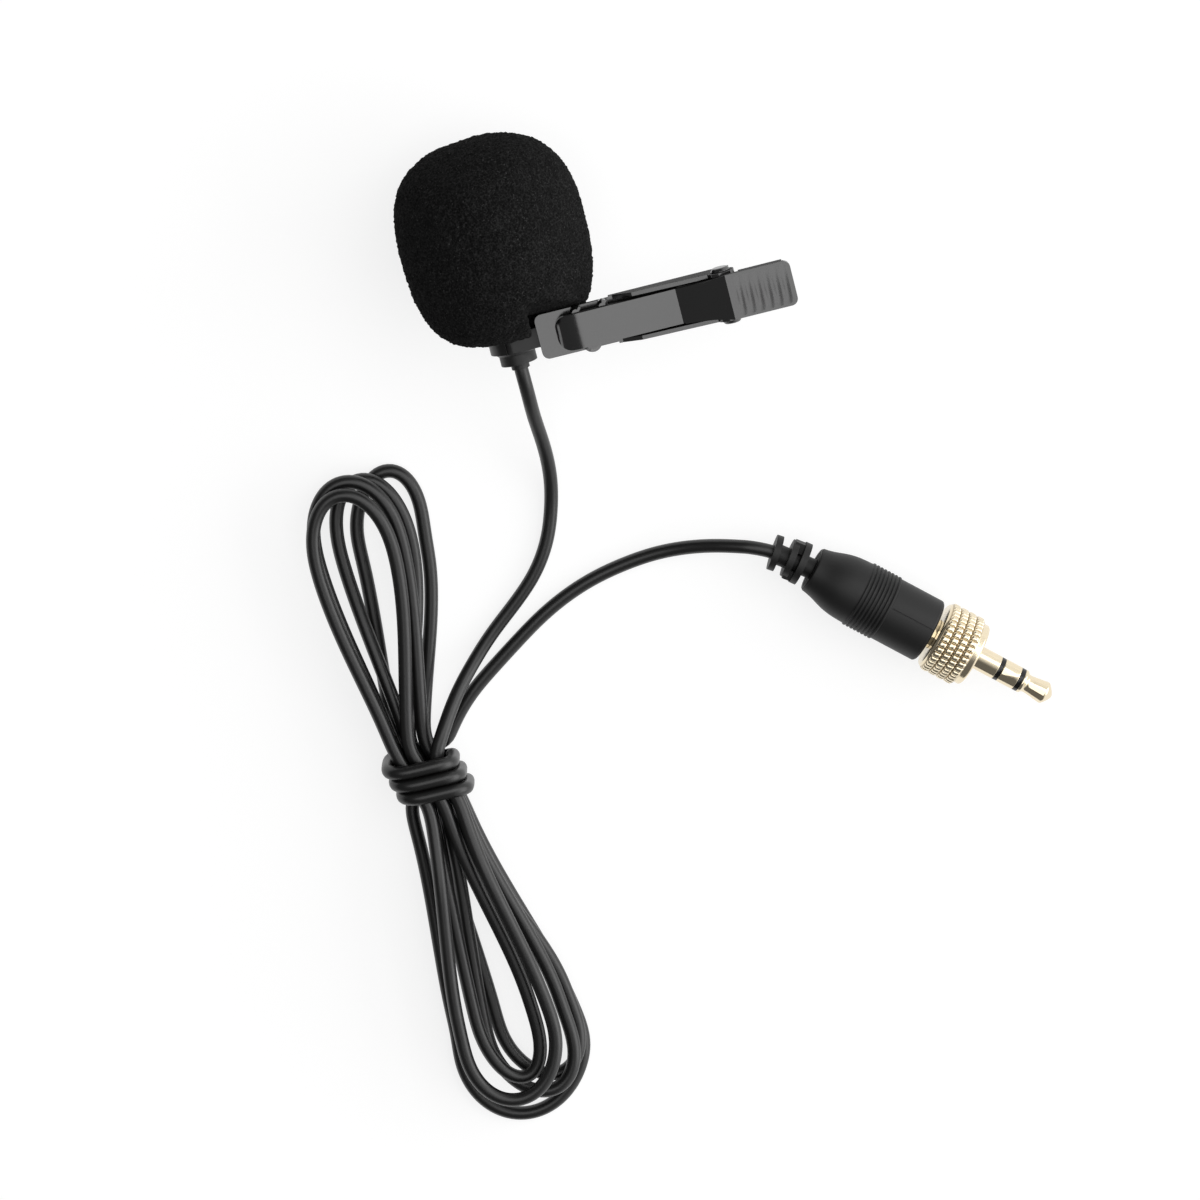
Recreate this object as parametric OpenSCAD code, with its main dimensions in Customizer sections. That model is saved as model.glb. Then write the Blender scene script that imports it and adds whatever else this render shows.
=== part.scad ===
/* [Windscreen] */
// Diameter of the foam at its widest
foam_d = 26.8; // [22:0.1:32]
// Length of the foam
foam_len = 29; // [26:0.5:34]
// Height of the widest place above the foam's lower face
foam_belly = 14.7; // [12:0.1:16]
// Length of the ring that the foam covers
foam_cover = 1; // [0.5:0.1:1.2]

/* [Microphone] */
// Outside diameter of the housing
mic_d = 6.2; // [5.9:0.1:7]
// Wall of the housing
mic_wall = 0.35; // [0.25:0.05:0.45]
// Length of the housing without its grille
mic_len = 16.4; // [14:0.2:18]
// Length of the spigot that the grille cap sits on
spigot_len = 1; // [0.6:0.1:1.4]
// Thickness of the grille's face
grille_t = 0.4; // [0.3:0.05:0.6]
// Diameter of a hole in the grille
grille_hole_d = 0.6; // [0.4:0.05:0.8]
// Diameter of the capsule
capsule_d = 4.5; // [3.8:0.1:4.8]
// Length of the capsule
capsule_len = 2.2; // [1.5:0.1:3]
// Thickness of the solder board
board_t = 0.4; // [0.3:0.1:0.8]
// Thickness of the dust cloth
cloth_t = 0.15; // [0.1:0.05:0.18]
// Diameter of the boot's collar
boot_d = 5.2; // [4.4:0.1:5.8]
// Length of the boot's collar
boot_collar_len = 1.45; // [1:0.05:2.5]
// Length of the boot's neck
boot_neck_len = 0.85; // [0.6:0.05:1.5]
// Diameter of a core of the cable
core_d = 0.6; // [0.4:0.05:0.7]

/* [Clip] */
// Length of the clip
clip_len = 37.4; // [36:0.1:42]
// Width of the clip's plate
plate_w = 6.4; // [6:0.1:7.5]
// Distance from the microphone's axis to the end of the plate
plate_start = 2.8; // [2:0.1:3.2]
// Thickness of the pressed sheet of the plate
plate_t = 0.8; // [0.6:0.05:1]
// Thickness of the flanges and ears
flange_t = 0.6; // [0.5:0.05:0.8]
// Width over the flanges
flange_w = 6.9; // [6.7:0.1:7.8]
// Thickness of the lever's sheet
lever_t = 0.8; // [0.6:0.05:0.9]
// Width of the lever's jaw
jaw_w = 5; // [4.4:0.1:5.2]
// Height of the jaw's face above the plate
jaw_rise = 2.6; // [2.4:0.1:3]
// Height of the thumb grip above the plate
grip_rise = 6; // [5.8:0.1:7]
// Length of the thumb grip
grip_len = 9.1; // [8:0.1:11]
// Width of the thumb grip
grip_w = 6.4; // [6:0.1:8]
// Number of ribs on the thumb grip
grip_ribs = 6; // [4:1:7]
// Height of the pivot above the plate
pivot_rise = 2.7; // [2.5:0.1:2.9]
// Diameter of the pivot pin
pin_d = 1.5; // [1.2:0.1:1.7]
// Diameter of the pin's heads
pin_head_d = 2.9; // [2.4:0.1:3.4]
// Thickness of the pin's heads
pin_head_t = 0.55; // [0.4:0.05:0.8]
// Thickness of the holder ring's strip
ring_t = 0.5; // [0.4:0.05:0.7]
// Width of the holder ring's strip
ring_w = 2.8; // [2.4:0.1:3.4]
// Length of the ring's tab under the plate
tab_len = 13.4; // [13:0.1:14.5]
// Diameter of the spring's wire
spring_wire_d = 0.6; // [0.4:0.05:0.7]
// Number of turns of the spring
spring_turns = 4; // [3:1:4]

/* [Plug] */
// Diameter of the jack
jack_d = 3.5; // [3.5:0.1:3.6]
// Length of the sleeve that shows in front of the lock ring
sleeve_len = 3.9; // [3:0.1:5]
// Length of the ring contact
contact_len = 2.4; // [2:0.1:2.8]
// Length of the tip contact
tip_len = 4.4; // [4:0.1:4.8]
// Width of an insulating band
band_len = 0.95; // [0.7:0.05:1.1]
// Diameter of the neck that the lock ring turns on
neck_d = 4.4; // [4.2:0.1:4.6]
// Length of the neck that shows behind the lock ring
neck_len = 0.8; // [0.6:0.1:1.4]
// Diameter of the lock ring
lock_d = 10.6; // [10:0.1:12]
// Length of the lock ring
lock_len = 6.6; // [6:0.1:8]
// Length of the lock ring's smooth front collar
lock_collar_len = 1.2; // [0.8:0.1:1.6]
// Diameter of the lock ring's thread
thread_d = 6; // [5.8:0.1:6.4]
// Diameter of the plug's sleeve
plug_d = 9.5; // [9:0.1:10.2]
// Diameter of the plug's rear end
plug_rear_d = 6.7; // [6:0.1:7.6]
// Length of the plug's sleeve
plug_len = 19.2; // [18:0.2:24]
// Number of grip ribs on the plug
plug_ribs = 6; // [4:1:8]
// Diameter of the strain relief
relief_d = 6.3; // [5.4:0.1:6.6]
// Length of the strain relief
relief_len = 6.2; // [6:0.1:8]

/* [Cable] */
// Diameter of the cable
cable_d = 2; // [1.8:0.05:2]

/* [Hidden] */
$fn = 48;

// Clearances
fit = 0.02;        // between pieces that are pressed or glued together
running = 0.03;    // between pieces that turn on each other
soft_gap = 0.3;    // round the foam
jaw_gap = 0.1;     // between the closed jaws

// Microphone, along its axis; 0 is near the middle of the clip's width
clip_y = -0.1;
ring_y0 = clip_y - ring_w / 2;
ring_y1 = clip_y + ring_w / 2;
housing_y0 = ring_y0 - 0.5;
housing_y1 = housing_y0 + mic_len;
boot_y = housing_y0 - boot_collar_len - boot_neck_len;
boot_stem_len = 3;
foam_y0 = ring_y1 - foam_cover;
foam_y1 = foam_y0 + foam_len;
mic_bore_d = mic_d - 2 * mic_wall;
spigot_d = mic_d - mic_wall;
grille_room = 0.2;
grille_y1 = housing_y1 + grille_room + grille_t;
capsule_y1 = housing_y1 - 0.2;
capsule_y0 = capsule_y1 - capsule_len;
board_y0 = capsule_y0 - board_t;
neck_of_boot_d = 2.6;

// Clip, in the microphone's frame: x along the clip, z up from the axis
ring_r = mic_d / 2 + running;
plate_z0 = ring_r + ring_t;
plate_z1 = plate_z0 + plate_t;
clip_end = plate_start + clip_len;
grip_x0 = clip_end - grip_len;
pivot_x = grip_x0 - 0.5;
pivot_z = plate_z1 + pivot_rise;
jaw_z1 = plate_z1 + jaw_rise;
grip_z1 = plate_z1 + grip_rise;
nose_x0 = plate_start + 2.6;
nose_len = 4.1;
jaw_x0 = nose_x0 + nose_len;
neck_x0 = grip_x0 - 7.8;
flange_rise = 3.1;
ear_r = 1.9;
ear_in = flange_w / 2 - flange_t;
wing_w = 2 * (ear_in - 0.15);
wing_t = 0.7;
wing_r = 1.5;
tail_w = 4.6;
tail_end = clip_end - 1.4;
rivet_x = tab_len - 1.8;
flange_x0 = rivet_x + 2.1;
rivet_d = 1.6;
rivet_head_d = 2.2;
rivet_head_t = 0.4;
side_wall_t = 0.6;
side_wall_h = 1.5;
rib_h = 0.22;
grip_wall_h = 1.2;
grip_wall_x0 = pivot_x + 2.4;
corner_r = 1;

// Where the microphone's axis lies: the head and clip are centred on the origin
axis_z = foam_d / 2;
mic_x = -(clip_end - foam_d / 2) / 2;
mic_y = -(boot_y + foam_y1) / 2;

// Plug, along its axis from the rear of the strain relief
plug_x = 14.65;
plug_y = -52.3;
plug_z = lock_d / 2;
plug_turn = -42.7;
relief_bend = 10;
body_x0 = relief_len;
body_x1 = body_x0 + plug_len;
lock_x0 = body_x1 + neck_len;
lock_x1 = lock_x0 + lock_len;
sleeve_x1 = lock_x1 + sleeve_len;
contact_x0 = sleeve_x1 + band_len;
contact_x1 = contact_x0 + contact_len;
tip_x0 = contact_x1 + band_len;
tip_x1 = tip_x0 + tip_len;
core_d_of_plug = 6.4;
core_x0 = body_x0 + 5;
sleeve_x0 = body_x1 - 5;
wire_x0 = body_x0 - 1;
wire_room_d = 2.2;
lock_wall = 1.8;
retainer_t = 0.55;
retainer_x0 = lock_x0 + lock_wall + running;
sleeve_step_x = retainer_x0 + retainer_t + 0.1;
rod_r = 0.45;
front_liner_r = 0.65;
contact_tube_r = 0.95;
rear_liner_r = 1.25;

// Cable: waist of the hank, where its nine runs lie three by three
waist_x = -41.6;
waist_y = -72.4;
waist_lean = 0.15;
waist_half = 5;
run_pitch = 2.5;
floor_z = 1;
first_run_z = floor_z + run_pitch;
// [column, layer] of each run through the waist, in the order that the cable makes them
RUNS = [[1, 2], [-1, 2], [0, 2], [-1, 1], [1, 1], [0, 1], [0, 0], [-1, 0], [1, 0]];
// [side, first run, last run, centre x, half width, reach, height of its round end, level, turn]
LOOPS = [
    [-1, 0, 1, -39.6, 6.8, 49, 9.5, 4, -8],
    [1, 1, 2, -43.6, 5.7, 43, 9.5, 3, 0],
    [-1, 2, 3, -39.6, 4, 46.8, 9, 3, 6],
    [1, 3, 4, -42.6, 6.2, 44.2, 9.5, 2, 0],
    [-1, 4, 5, -37.3, 6, 50, 9.5, 2, 12],
    [1, 5, 6, -40.3, 5.2, 43.7, 9.5, 1, 0],
    [-1, 6, 7, -35.8, 5.6, 48.4, 9, 1, 12],
    [1, 7, 8, -38, 4.9, 44, 9.5, 0, -14],
    [-1, 8, -1, -38.6, 9.3, 54, 11.5, 0, -16]
];
// Where the last loop comes back beside the tie
loose_end = [-45.6, -83];
leg_rings = 7;
bend_rings = 10;
wrap_r = 2.5;
wrap_quarters = 13;
wrap_y0 = waist_y - 1.9 * run_pitch;
arc_rings = 4;
tie_bend = 4;

// Free stretches, from the boot to the waist and from the tie to the plug
mic_lead_start = [mic_x, mic_y + boot_y, axis_z];
mic_lead = [
    [-13.4, -19, 13.2], [-13.9, -22, 11.3], [-14.2, -25, 8.6], [-14.1, -28, 6.2],
    [-14, -31, 4.2], [-14.1, -34, 2.6], [-14.5, -37, 1.5], [-15.1, -39.6, 1.1],
    [-16.5, -43.8, 1], [-19.6, -48.4, 1], [-23.6, -52, 1], [-28, -55.5, 1.2],
    [-31.4, -58.7, 2.2], [-34, -61.3, 4], [-36, -63.9, 6.2], [-37.7, -66.4, 8],
    [-38.9, -68.5, 8.5]
];
plug_lead = [
    [-38.6, -69.2, 1], [-37.4, -68.5, 1], [-36.4, -67.4, 1], [-35.1, -65.6, 1], [-32.7, -63, 1],
    [-28.9, -60.3, 1], [-24.6, -57.4, 1], [-20.2, -54.6, 1], [-15.9, -52.5, 1], [-11.5, -51, 1],
    [-7, -50.1, 1.1], [-3, -49.7, 1.4], [1, -49.6, 2], [5, -49.7, 3.2], [8, -50.1, 4.4],
    [10.6, -50.8, 5.1]
];

// ---- frames ----

module on_head() { translate([mic_x, mic_y, axis_z]) children(); }

module along_y(y) { translate([0, y, 0]) rotate([-90, 0, 0]) children(); }

module on_plug() { translate([plug_x, plug_y, plug_z]) rotate([0, 0, plug_turn]) children(); }

module along_x(x) { translate([x, 0, 0]) rotate([0, 90, 0]) children(); }

module tube_y(y0, y1, outer_d, inner_d) {
    along_y(y0) difference() {
        cylinder(h = y1 - y0, d = outer_d);
        translate([0, 0, -1]) cylinder(h = y1 - y0 + 2, d = inner_d);
    }
}

module tube_x(x0, x1, outer_r, inner_r) {
    along_x(x0) difference() {
        cylinder(h = x1 - x0, r = outer_r);
        translate([0, 0, -1]) cylinder(h = x1 - x0 + 2, r = inner_r);
    }
}

// A flat plate with round corners at its left or its right end
module plate(x0, x1, w, t, r, round_left, round_right) {
    linear_extrude(t) {
        translate([x0 + (round_left ? r : 0), -w / 2])
            square([x1 - x0 - (round_left ? r : 0) - (round_right ? r : 0), w]);
        for (end = [0, 1]) if (end == 0 ? round_left : round_right) {
            x = end == 0 ? x0 + r : x1 - r;
            translate([x - r, -w / 2 + r]) square([2 * r, w - 2 * r]);
            for (s = [-1, 1]) translate([x, s * (w / 2 - r)]) circle(r);
        }
    }
}

// ---- sweeping a round cord along points ----

function unit(v) = v / norm(v);

function tangent(p, i) = unit(p[min(i + 1, len(p) - 1)] - p[max(i - 1, 0)]);

function across(n, t) = unit(n - t * (n * t));

// One normal for each point, each as near the last as its tangent allows
function normals(p) = [
    for (i = 0, n = across([0.02, 0.03, 1], tangent(p, 0)); i < len(p);
         i = i + 1, n = i < len(p) ? across(n, tangent(p, i)) : n) n
];

function ring_of(c, t, n, r, sides) = [
    for (k = [0:sides - 1]) c + r * (cos(360 * k / sides) * n + sin(360 * k / sides) * cross(t, n))
];

function sweep_points(p, r, sides) =
    let (ns = normals(p)) [for (i = [0:len(p) - 1]) each ring_of(p[i], tangent(p, i), ns[i], r, sides)];

function sweep_faces(count, sides) = [
    for (k = [1:sides - 2]) [0, k, k + 1],
    for (i = [0:count - 2]) for (k = [0:sides - 1])
        let (a = i * sides + k, b = i * sides + (k + 1) % sides) each
            [[a, a + sides, b + sides], [a, b + sides, b]],
    for (k = [1:sides - 2])
        let (a = (count - 1) * sides) [a, a + k + 1, a + k]
];

module cord(p, r, sides) {
    polyhedron(points = sweep_points(p, r, sides), faces = sweep_faces(len(p), sides), convexity = 8);
}

// ---- the hank's route ----

function smooth(t) = let (c = min(1, max(0, t))) c * c * (3 - 2 * c);

function spread(s) = sin(90 * pow(s, 1.4));

function run_z(run) = first_run_z + run_pitch * RUNS[run][1];

// End of a run through the waist, on the side where y grows (1) or falls (-1)
function run_end(run, side) = [
    waist_x + RUNS[run][0] * run_pitch - waist_lean * side * waist_half,
    waist_y + side * waist_half,
    run_z(run)
];

// Share of a leg in which it comes down or climbs to its level
function climb(z0, z1) = z1 < floor_z + 0.5 ? 0.16 : z1 > z0 + 0.1 ? 0.35 : 0.75;

// Leg from the waist towards a bend's end, without that end
function leg(a, b) = [
    for (i = [0:leg_rings - 1]) let (s = i / leg_rings) [
        a.x + (b.x - a.x) * spread(s),
        a.y + (b.y - a.y) * s,
        a.z + (b.z - a.z) * smooth(s / climb(a.z, b.z))
    ]
];

function turned(p, c, angle) = let (d = p - c) [
    c.x + d.x * cos(angle) - d.y * sin(angle),
    c.y + d.x * sin(angle) + d.y * cos(angle),
    p.z
];

function bend(l) = let (side = l[0], c = [l[3], waist_y + side * (l[5] - l[6]), floor_z + run_pitch * l[7]]) [
    for (i = [0:bend_rings]) let (a = 180 * i / bend_rings)
        turned(c + [-side * l[4] * cos(a), side * l[6] * sin(a), 0], c, l[8])
];

function reversed(p) = [for (i = [len(p) - 1:-1:0]) p[i]];

function back_to_tie(a) = [
    for (i = [1:leg_rings]) let (t = i / leg_rings) [
        a.x + (loose_end.x - a.x) * (1 - spread(1 - t)),
        a.y + (loose_end.y - a.y) * t,
        a.z
    ]
];

function loop_route(l) = let (b = bend(l), out = b[bend_rings]) concat(
    leg(run_end(l[1], l[0]), b[0]),
    b,
    l[2] < 0 ? back_to_tie(out) : reversed(leg(run_end(l[2], l[0]), out))
);

// Where the microphone's lead joins the first run, under the tie
function waist_middle() = (run_end(0, 1) + run_end(0, -1)) / 2;

function hank_route() = concat(
    [waist_middle()],
    [for (l = LOOPS) each loop_route(l)],
    [[loose_end.x, loose_end.y + cable_d, floor_z]]
);

// The tie: square turns with round corners, each quarter a straight and an arc
function quarter_turned(p, k) = k == 0 ? p : quarter_turned([-p.y, p.x], k - 1);

function tie_corner(q) = [
    for (i = [0:arc_rings]) let (
        c = run_pitch,
        a = 90 * max(0, i - 1) / arc_rings,
        flat = i == 0 ? [-c, -c - wrap_r] : [c + wrap_r * sin(a), -c - wrap_r * cos(a)],
        v = quarter_turned(flat, q % 4),
        y = wrap_y0 + run_pitch * (q + i / (arc_rings + 1)) / 4
    ) [waist_x + v.x + waist_lean * (waist_y - y), y, first_run_z + run_pitch + v.y]
];

function tie_start() = let (
    a = [loose_end.x, loose_end.y + cable_d, floor_z],
    b = a + [0, cable_d, 0],
    r = wrap_y0 - b.y
) [a, for (i = [0:tie_bend - 1]) let (t = 90 * i / tie_bend) b + [r * (1 - cos(t)), r * sin(t), 0]];

// The last turn stops half way along its last straight, under the hank
function tie_end() = let (c = tie_corner(wrap_quarters - 1)) (c[0] + c[1]) / 2;

function tie_route() = concat(
    tie_start(),
    [for (q = [0:wrap_quarters - 2]) each tie_corner(q)],
    [tie_corner(wrap_quarters - 1)[0], tie_end()]
);

function plug_lead_route() = let (
    out = tie_end() - tie_corner(wrap_quarters - 1)[0],
    rear = turned(relief_point(relief_len), [0, 0, 0], plug_turn) + [plug_x, plug_y, plug_z],
    last = plug_turn + relief_bend,
    into = [cos(last), sin(last), 0]
) concat([tie_end(), tie_end() + cable_d * unit(out)], plug_lead, [rear - cable_d * into, rear]);

function mic_lead_route() = concat(
    [mic_lead_start, mic_lead_start - [0, 0.8, 0]],
    mic_lead,
    [waist_middle() + cable_d * unit(run_end(0, 1) - run_end(0, -1)), waist_middle()]
);

// Points between the route's own points, for measuring
function filled(p, n) = [
    for (i = [0:len(p) - 2]) for (k = [0:n - 1]) p[i] + (p[i + 1] - p[i]) * k / n
];

function length_of(p, i = 0, sum = 0) =
    i >= len(p) - 1 ? sum : length_of(p, i + 1, sum + norm(p[i + 1] - p[i]));

function least_apart(p, apart) = min([
    for (i = [0:len(p) - apart - 1]) for (j = [i + apart:len(p) - 1]) norm(p[i] - p[j])
]);

module print_gap(name, p, n, apart) {
    echo(name, gap = least_apart(filled(p, n), apart) - cable_d, length = length_of(p));
}

// ---- windscreen ----

// Foam radius at a height, from the widest place down and up
function foam_below(h) = foam_d / 2 * pow(1 - pow((foam_belly - h) / foam_belly, 2.4), 1 / 4.2);

function foam_above(h) =
    foam_d / 2 * pow(1 - pow((h - foam_belly) / (foam_len - foam_belly), 2.6), 1 / 2.6);

module foam_outline() {
    lip = 0.25;
    low = [for (i = [0:9]) let (h = lip + (foam_belly - lip) * pow(i / 9, 1.6)) [foam_below(h), h]];
    high = [for (i = [1:12]) let (a = 90 * i / 12, h = foam_belly + (foam_len - foam_belly) * sin(a))
        [i == 12 ? 0 : foam_above(h), h]];
    polygon(concat([[0, 0], [foam_below(lip) - 1, 0]], low, high));
}

module windscreen() {
    pocket_x0 = 2 * soft_gap + ring_t - 1;
    pocket_z0 = ring_r - rivet_head_t - soft_gap;
    pocket_y1 = clip_y + plate_w / 2 + soft_gap;
    color([0.06, 0.06, 0.065]) on_head() difference() {
        along_y(foam_y0) rotate_extrude($fn = 96) foam_outline();
        along_y(foam_y0 - 1) cylinder(h = grille_y1 + soft_gap - foam_y0 + 1, r = mic_d / 2 + soft_gap);
        along_y(foam_y0 - 1) cylinder(h = foam_cover + soft_gap + 1, r = plate_z0 + soft_gap);
        // Where the clip presses the foam aside
        translate([plate_start - soft_gap, 0, 0]) rotate([90, 0, 90]) linear_extrude(foam_d) polygon([
            [foam_y0 - 1, pocket_z0],
            [pocket_y1, pocket_z0],
            [pocket_y1, plate_z1 + soft_gap],
            [pocket_y1 + 4, foam_d / 2 + 1],
            [foam_y0 - 1, foam_d / 2 + 1]
        ]);
        translate([pocket_x0, foam_y0 - 1, pocket_z0])
            cube([plate_start, foam_cover + soft_gap + 1, ring_t + rivet_head_t + 2 * soft_gap]);
    }
}

// ---- microphone ----

module mic_housing() {
    chamfer = 0.4;
    color([0.12, 0.12, 0.13]) on_head() along_y(housing_y0) difference() {
        union() {
            cylinder(h = chamfer, d1 = mic_d - 2 * chamfer, d2 = mic_d);
            translate([0, 0, chamfer]) cylinder(h = mic_len - spigot_len - chamfer, d = mic_d);
            translate([0, 0, mic_len - spigot_len]) cylinder(h = spigot_len, d = spigot_d);
        }
        translate([0, 0, -1]) cylinder(h = mic_len + 2, d = mic_bore_d);
    }
}

module grille_cap() {
    cap_y0 = housing_y1 - spigot_len;
    color([0.3, 0.3, 0.31]) on_head() difference() {
        along_y(cap_y0) cylinder(h = grille_y1 - cap_y0, d = mic_d);
        along_y(cap_y0 - 1) cylinder(h = spigot_len + fit + 1, d = spigot_d + 2 * fit);
        along_y(housing_y1 - 1) cylinder(h = grille_room + 1, d = mic_bore_d);
        along_y(housing_y1) {
            cylinder(h = 3, d = grille_hole_d, $fn = 24);
            for (k = [0:5]) rotate([0, 0, 60 * k]) translate([mic_bore_d / 4, 0, 0])
                cylinder(h = 3, d = grille_hole_d, $fn = 24);
        }
    }
}

module dust_cloth() {
    color([0.5, 0.5, 0.48]) on_head() along_y(housing_y1 + grille_room - cloth_t - fit)
        cylinder(h = cloth_t, d = mic_bore_d - 2 * fit);
}

module capsule_can() {
    color([0.75, 0.75, 0.76]) on_head() difference() {
        along_y(capsule_y0) cylinder(h = capsule_len, d = capsule_d);
        along_y(capsule_y1 - 0.3) cylinder(h = 1, d = 0.8, $fn = 24);
    }
}

module capsule_gasket() {
    color([0.08, 0.08, 0.08]) on_head()
        tube_y(capsule_y0 + 0.2, capsule_y1 - 0.2, mic_bore_d - 2 * fit, capsule_d + 2 * fit);
}

module capsule_board() {
    color([0.1, 0.35, 0.2]) on_head() along_y(board_y0) cylinder(h = board_t, d = capsule_d - 0.4);
}

module core_wires() {
    wire_y0 = housing_y0 + boot_stem_len;
    color([0.7, 0.25, 0.15]) on_head() for (s = [-1, 1]) translate([s * core_d, 0, 0])
        along_y(wire_y0) cylinder(h = board_y0 - wire_y0, d = core_d, $fn = 24);
}

module cable_boot() {
    color([0.05, 0.05, 0.05]) on_head() along_y(boot_y) {
        cylinder(h = boot_neck_len, d = neck_of_boot_d);
        translate([0, 0, boot_neck_len]) cylinder(h = boot_collar_len, d = boot_d);
        translate([0, 0, boot_neck_len + boot_collar_len])
            cylinder(h = boot_stem_len, d = mic_bore_d - 2 * fit);
    }
}

// ---- clip ----

module holder_ring() {
    slot_w = 0.8;
    color([0.08, 0.08, 0.085]) on_head() difference() {
        union() {
            tube_y(ring_y0, ring_y1, 2 * plate_z0, 2 * ring_r);
            translate([0, ring_y0, ring_r]) cube([tab_len, ring_w, ring_t]);
        }
        translate([-slot_w - 0.4, ring_y0 - 1, 0]) cube([slot_w, ring_w + 2, plate_z0 + 1]);
        translate([rivet_x, clip_y, 0]) cylinder(h = plate_z1, d = rivet_d + 2 * fit);
        // Keeps the bore round where the tab runs off it
        along_y(ring_y0 - 1) cylinder(h = ring_w + 2, r = ring_r);
    }
}

module ring_rivet() {
    color([0.2, 0.2, 0.2]) on_head() translate([rivet_x, clip_y, 0]) {
        translate([0, 0, ring_r - rivet_head_t]) cylinder(h = rivet_head_t, d = rivet_head_d);
        translate([0, 0, ring_r]) cylinder(h = plate_z1 - ring_r, d = rivet_d);
        translate([0, 0, plate_z1]) cylinder(h = rivet_head_t, d = rivet_head_d);
    }
}

module flange(s) {
    x1 = pivot_x - ear_r;
    y0 = s > 0 ? ear_in : -flange_w / 2;
    translate([0, y0 + flange_t, 0]) rotate([90, 0, 0]) linear_extrude(flange_t) {
        polygon([
            [flange_x0, plate_z1 - plate_t / 2], [flange_x0 + 3.4, plate_z1 + flange_rise - 1.2],
            [x1, plate_z1 + flange_rise], [pivot_x, pivot_z + ear_r], [pivot_x + 1.2, plate_z1 - plate_t / 2]
        ]);
        translate([pivot_x, pivot_z]) circle(ear_r);
    }
}

module clip_base() {
    color([0.1, 0.1, 0.105]) on_head() translate([0, clip_y, 0]) difference() {
        union() {
            translate([0, 0, plate_z0]) {
                plate(plate_start, flange_x0 + 0.5, plate_w, plate_t, corner_r, true, false);
                plate(flange_x0, pivot_x + 1.2, flange_w, plate_t, corner_r, false, false);
                plate(pivot_x, tail_end, tail_w, plate_t, corner_r, false, true);
            }
            flange(-1);
            flange(1);
        }
        translate([rivet_x, 0, 0]) cylinder(h = plate_z1 + 1, d = rivet_d + 2 * fit);
        translate([pivot_x, 0, pivot_z]) along_y(-flange_w) cylinder(h = 2 * flange_w, d = pin_d + 2 * fit);
    }
}

// Profile of the lever's sheet: down-turned nose, flat jaw, rising neck, flat grip
module lever_sheet(w, x_from, x_to) {
    function nose(r) = [for (i = [0:8]) let (a = 180 - 90 * i / 8)
        [jaw_x0 + (nose_len - r) * cos(a), plate_z1 + jaw_gap + (jaw_rise - jaw_gap - r) * sin(a)]];
    outline = concat(
        nose(0),
        [[neck_x0, jaw_z1], [grip_x0, grip_z1], [clip_end, grip_z1], [clip_end, grip_z1 - lever_t]],
        [[grip_x0 + 0.2, grip_z1 - lever_t], [neck_x0 + 0.2, jaw_z1 - lever_t]],
        reversed(nose(lever_t))
    );
    intersection() {
        translate([0, w / 2, 0]) rotate([90, 0, 0]) linear_extrude(w) polygon(outline);
        translate([x_from, -w, 0]) cube([x_to - x_from, 2 * w, grip_z1 + 1]);
    }
}

module lever_neck() {
    translate([0, 0, 0]) intersection() {
        lever_sheet(grip_w, neck_x0 - 0.01, grip_x0 + 0.01);
        linear_extrude(grip_z1 + 1) polygon([
            [neck_x0 - 1, -jaw_w / 2], [neck_x0, -jaw_w / 2], [pivot_x - 2.2, -ear_in + 0.1],
            [grip_x0 + 0.1, -grip_w / 2], [grip_x0 + 0.1, grip_w / 2], [pivot_x - 2.2, ear_in - 0.1],
            [neck_x0, jaw_w / 2], [neck_x0 - 1, jaw_w / 2]
        ]);
    }
}

module lever_side(s) {
    y0 = s > 0 ? jaw_w / 2 - side_wall_t : -jaw_w / 2;
    translate([jaw_x0 - 0.6, y0, jaw_z1 - side_wall_h]) cube([neck_x0 - jaw_x0 + 2, side_wall_t, side_wall_h - 0.2]);
    wing_y0 = s > 0 ? wing_w / 2 - wing_t : -wing_w / 2;
    translate([0, wing_y0 + wing_t, 0]) rotate([90, 0, 0]) linear_extrude(wing_t) {
        polygon([
            [neck_x0 + 0.3, jaw_z1 - side_wall_h], [neck_x0 + 0.3, jaw_z1 - 0.3],
            [pivot_x + 0.3, grip_z1 - 1.2 * lever_t], [pivot_x + wing_r, grip_z1 - 0.9 * lever_t],
            [pivot_x + wing_r, pivot_z], [pivot_x, pivot_z - wing_r]
        ]);
        translate([pivot_x, pivot_z]) circle(wing_r);
    }
}

// Rounded teeth on the jaw's sides: two on one side and one between them on the other
module lever_tooth(x, y, r) {
    translate([x, y, plate_z1 + jaw_gap]) {
        cylinder(h = 0.9, r = r);
        translate([0, 0, 0.9]) cylinder(h = 0.9, r1 = r, r2 = 0.6 * r);
    }
}

module grip_wall(s) {
    y0 = s > 0 ? grip_w / 2 - side_wall_t : -grip_w / 2;
    translate([grip_wall_x0, y0, grip_z1 - lever_t - grip_wall_h])
        cube([clip_end - corner_r - grip_wall_x0, side_wall_t, grip_wall_h + 0.1]);
}

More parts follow.
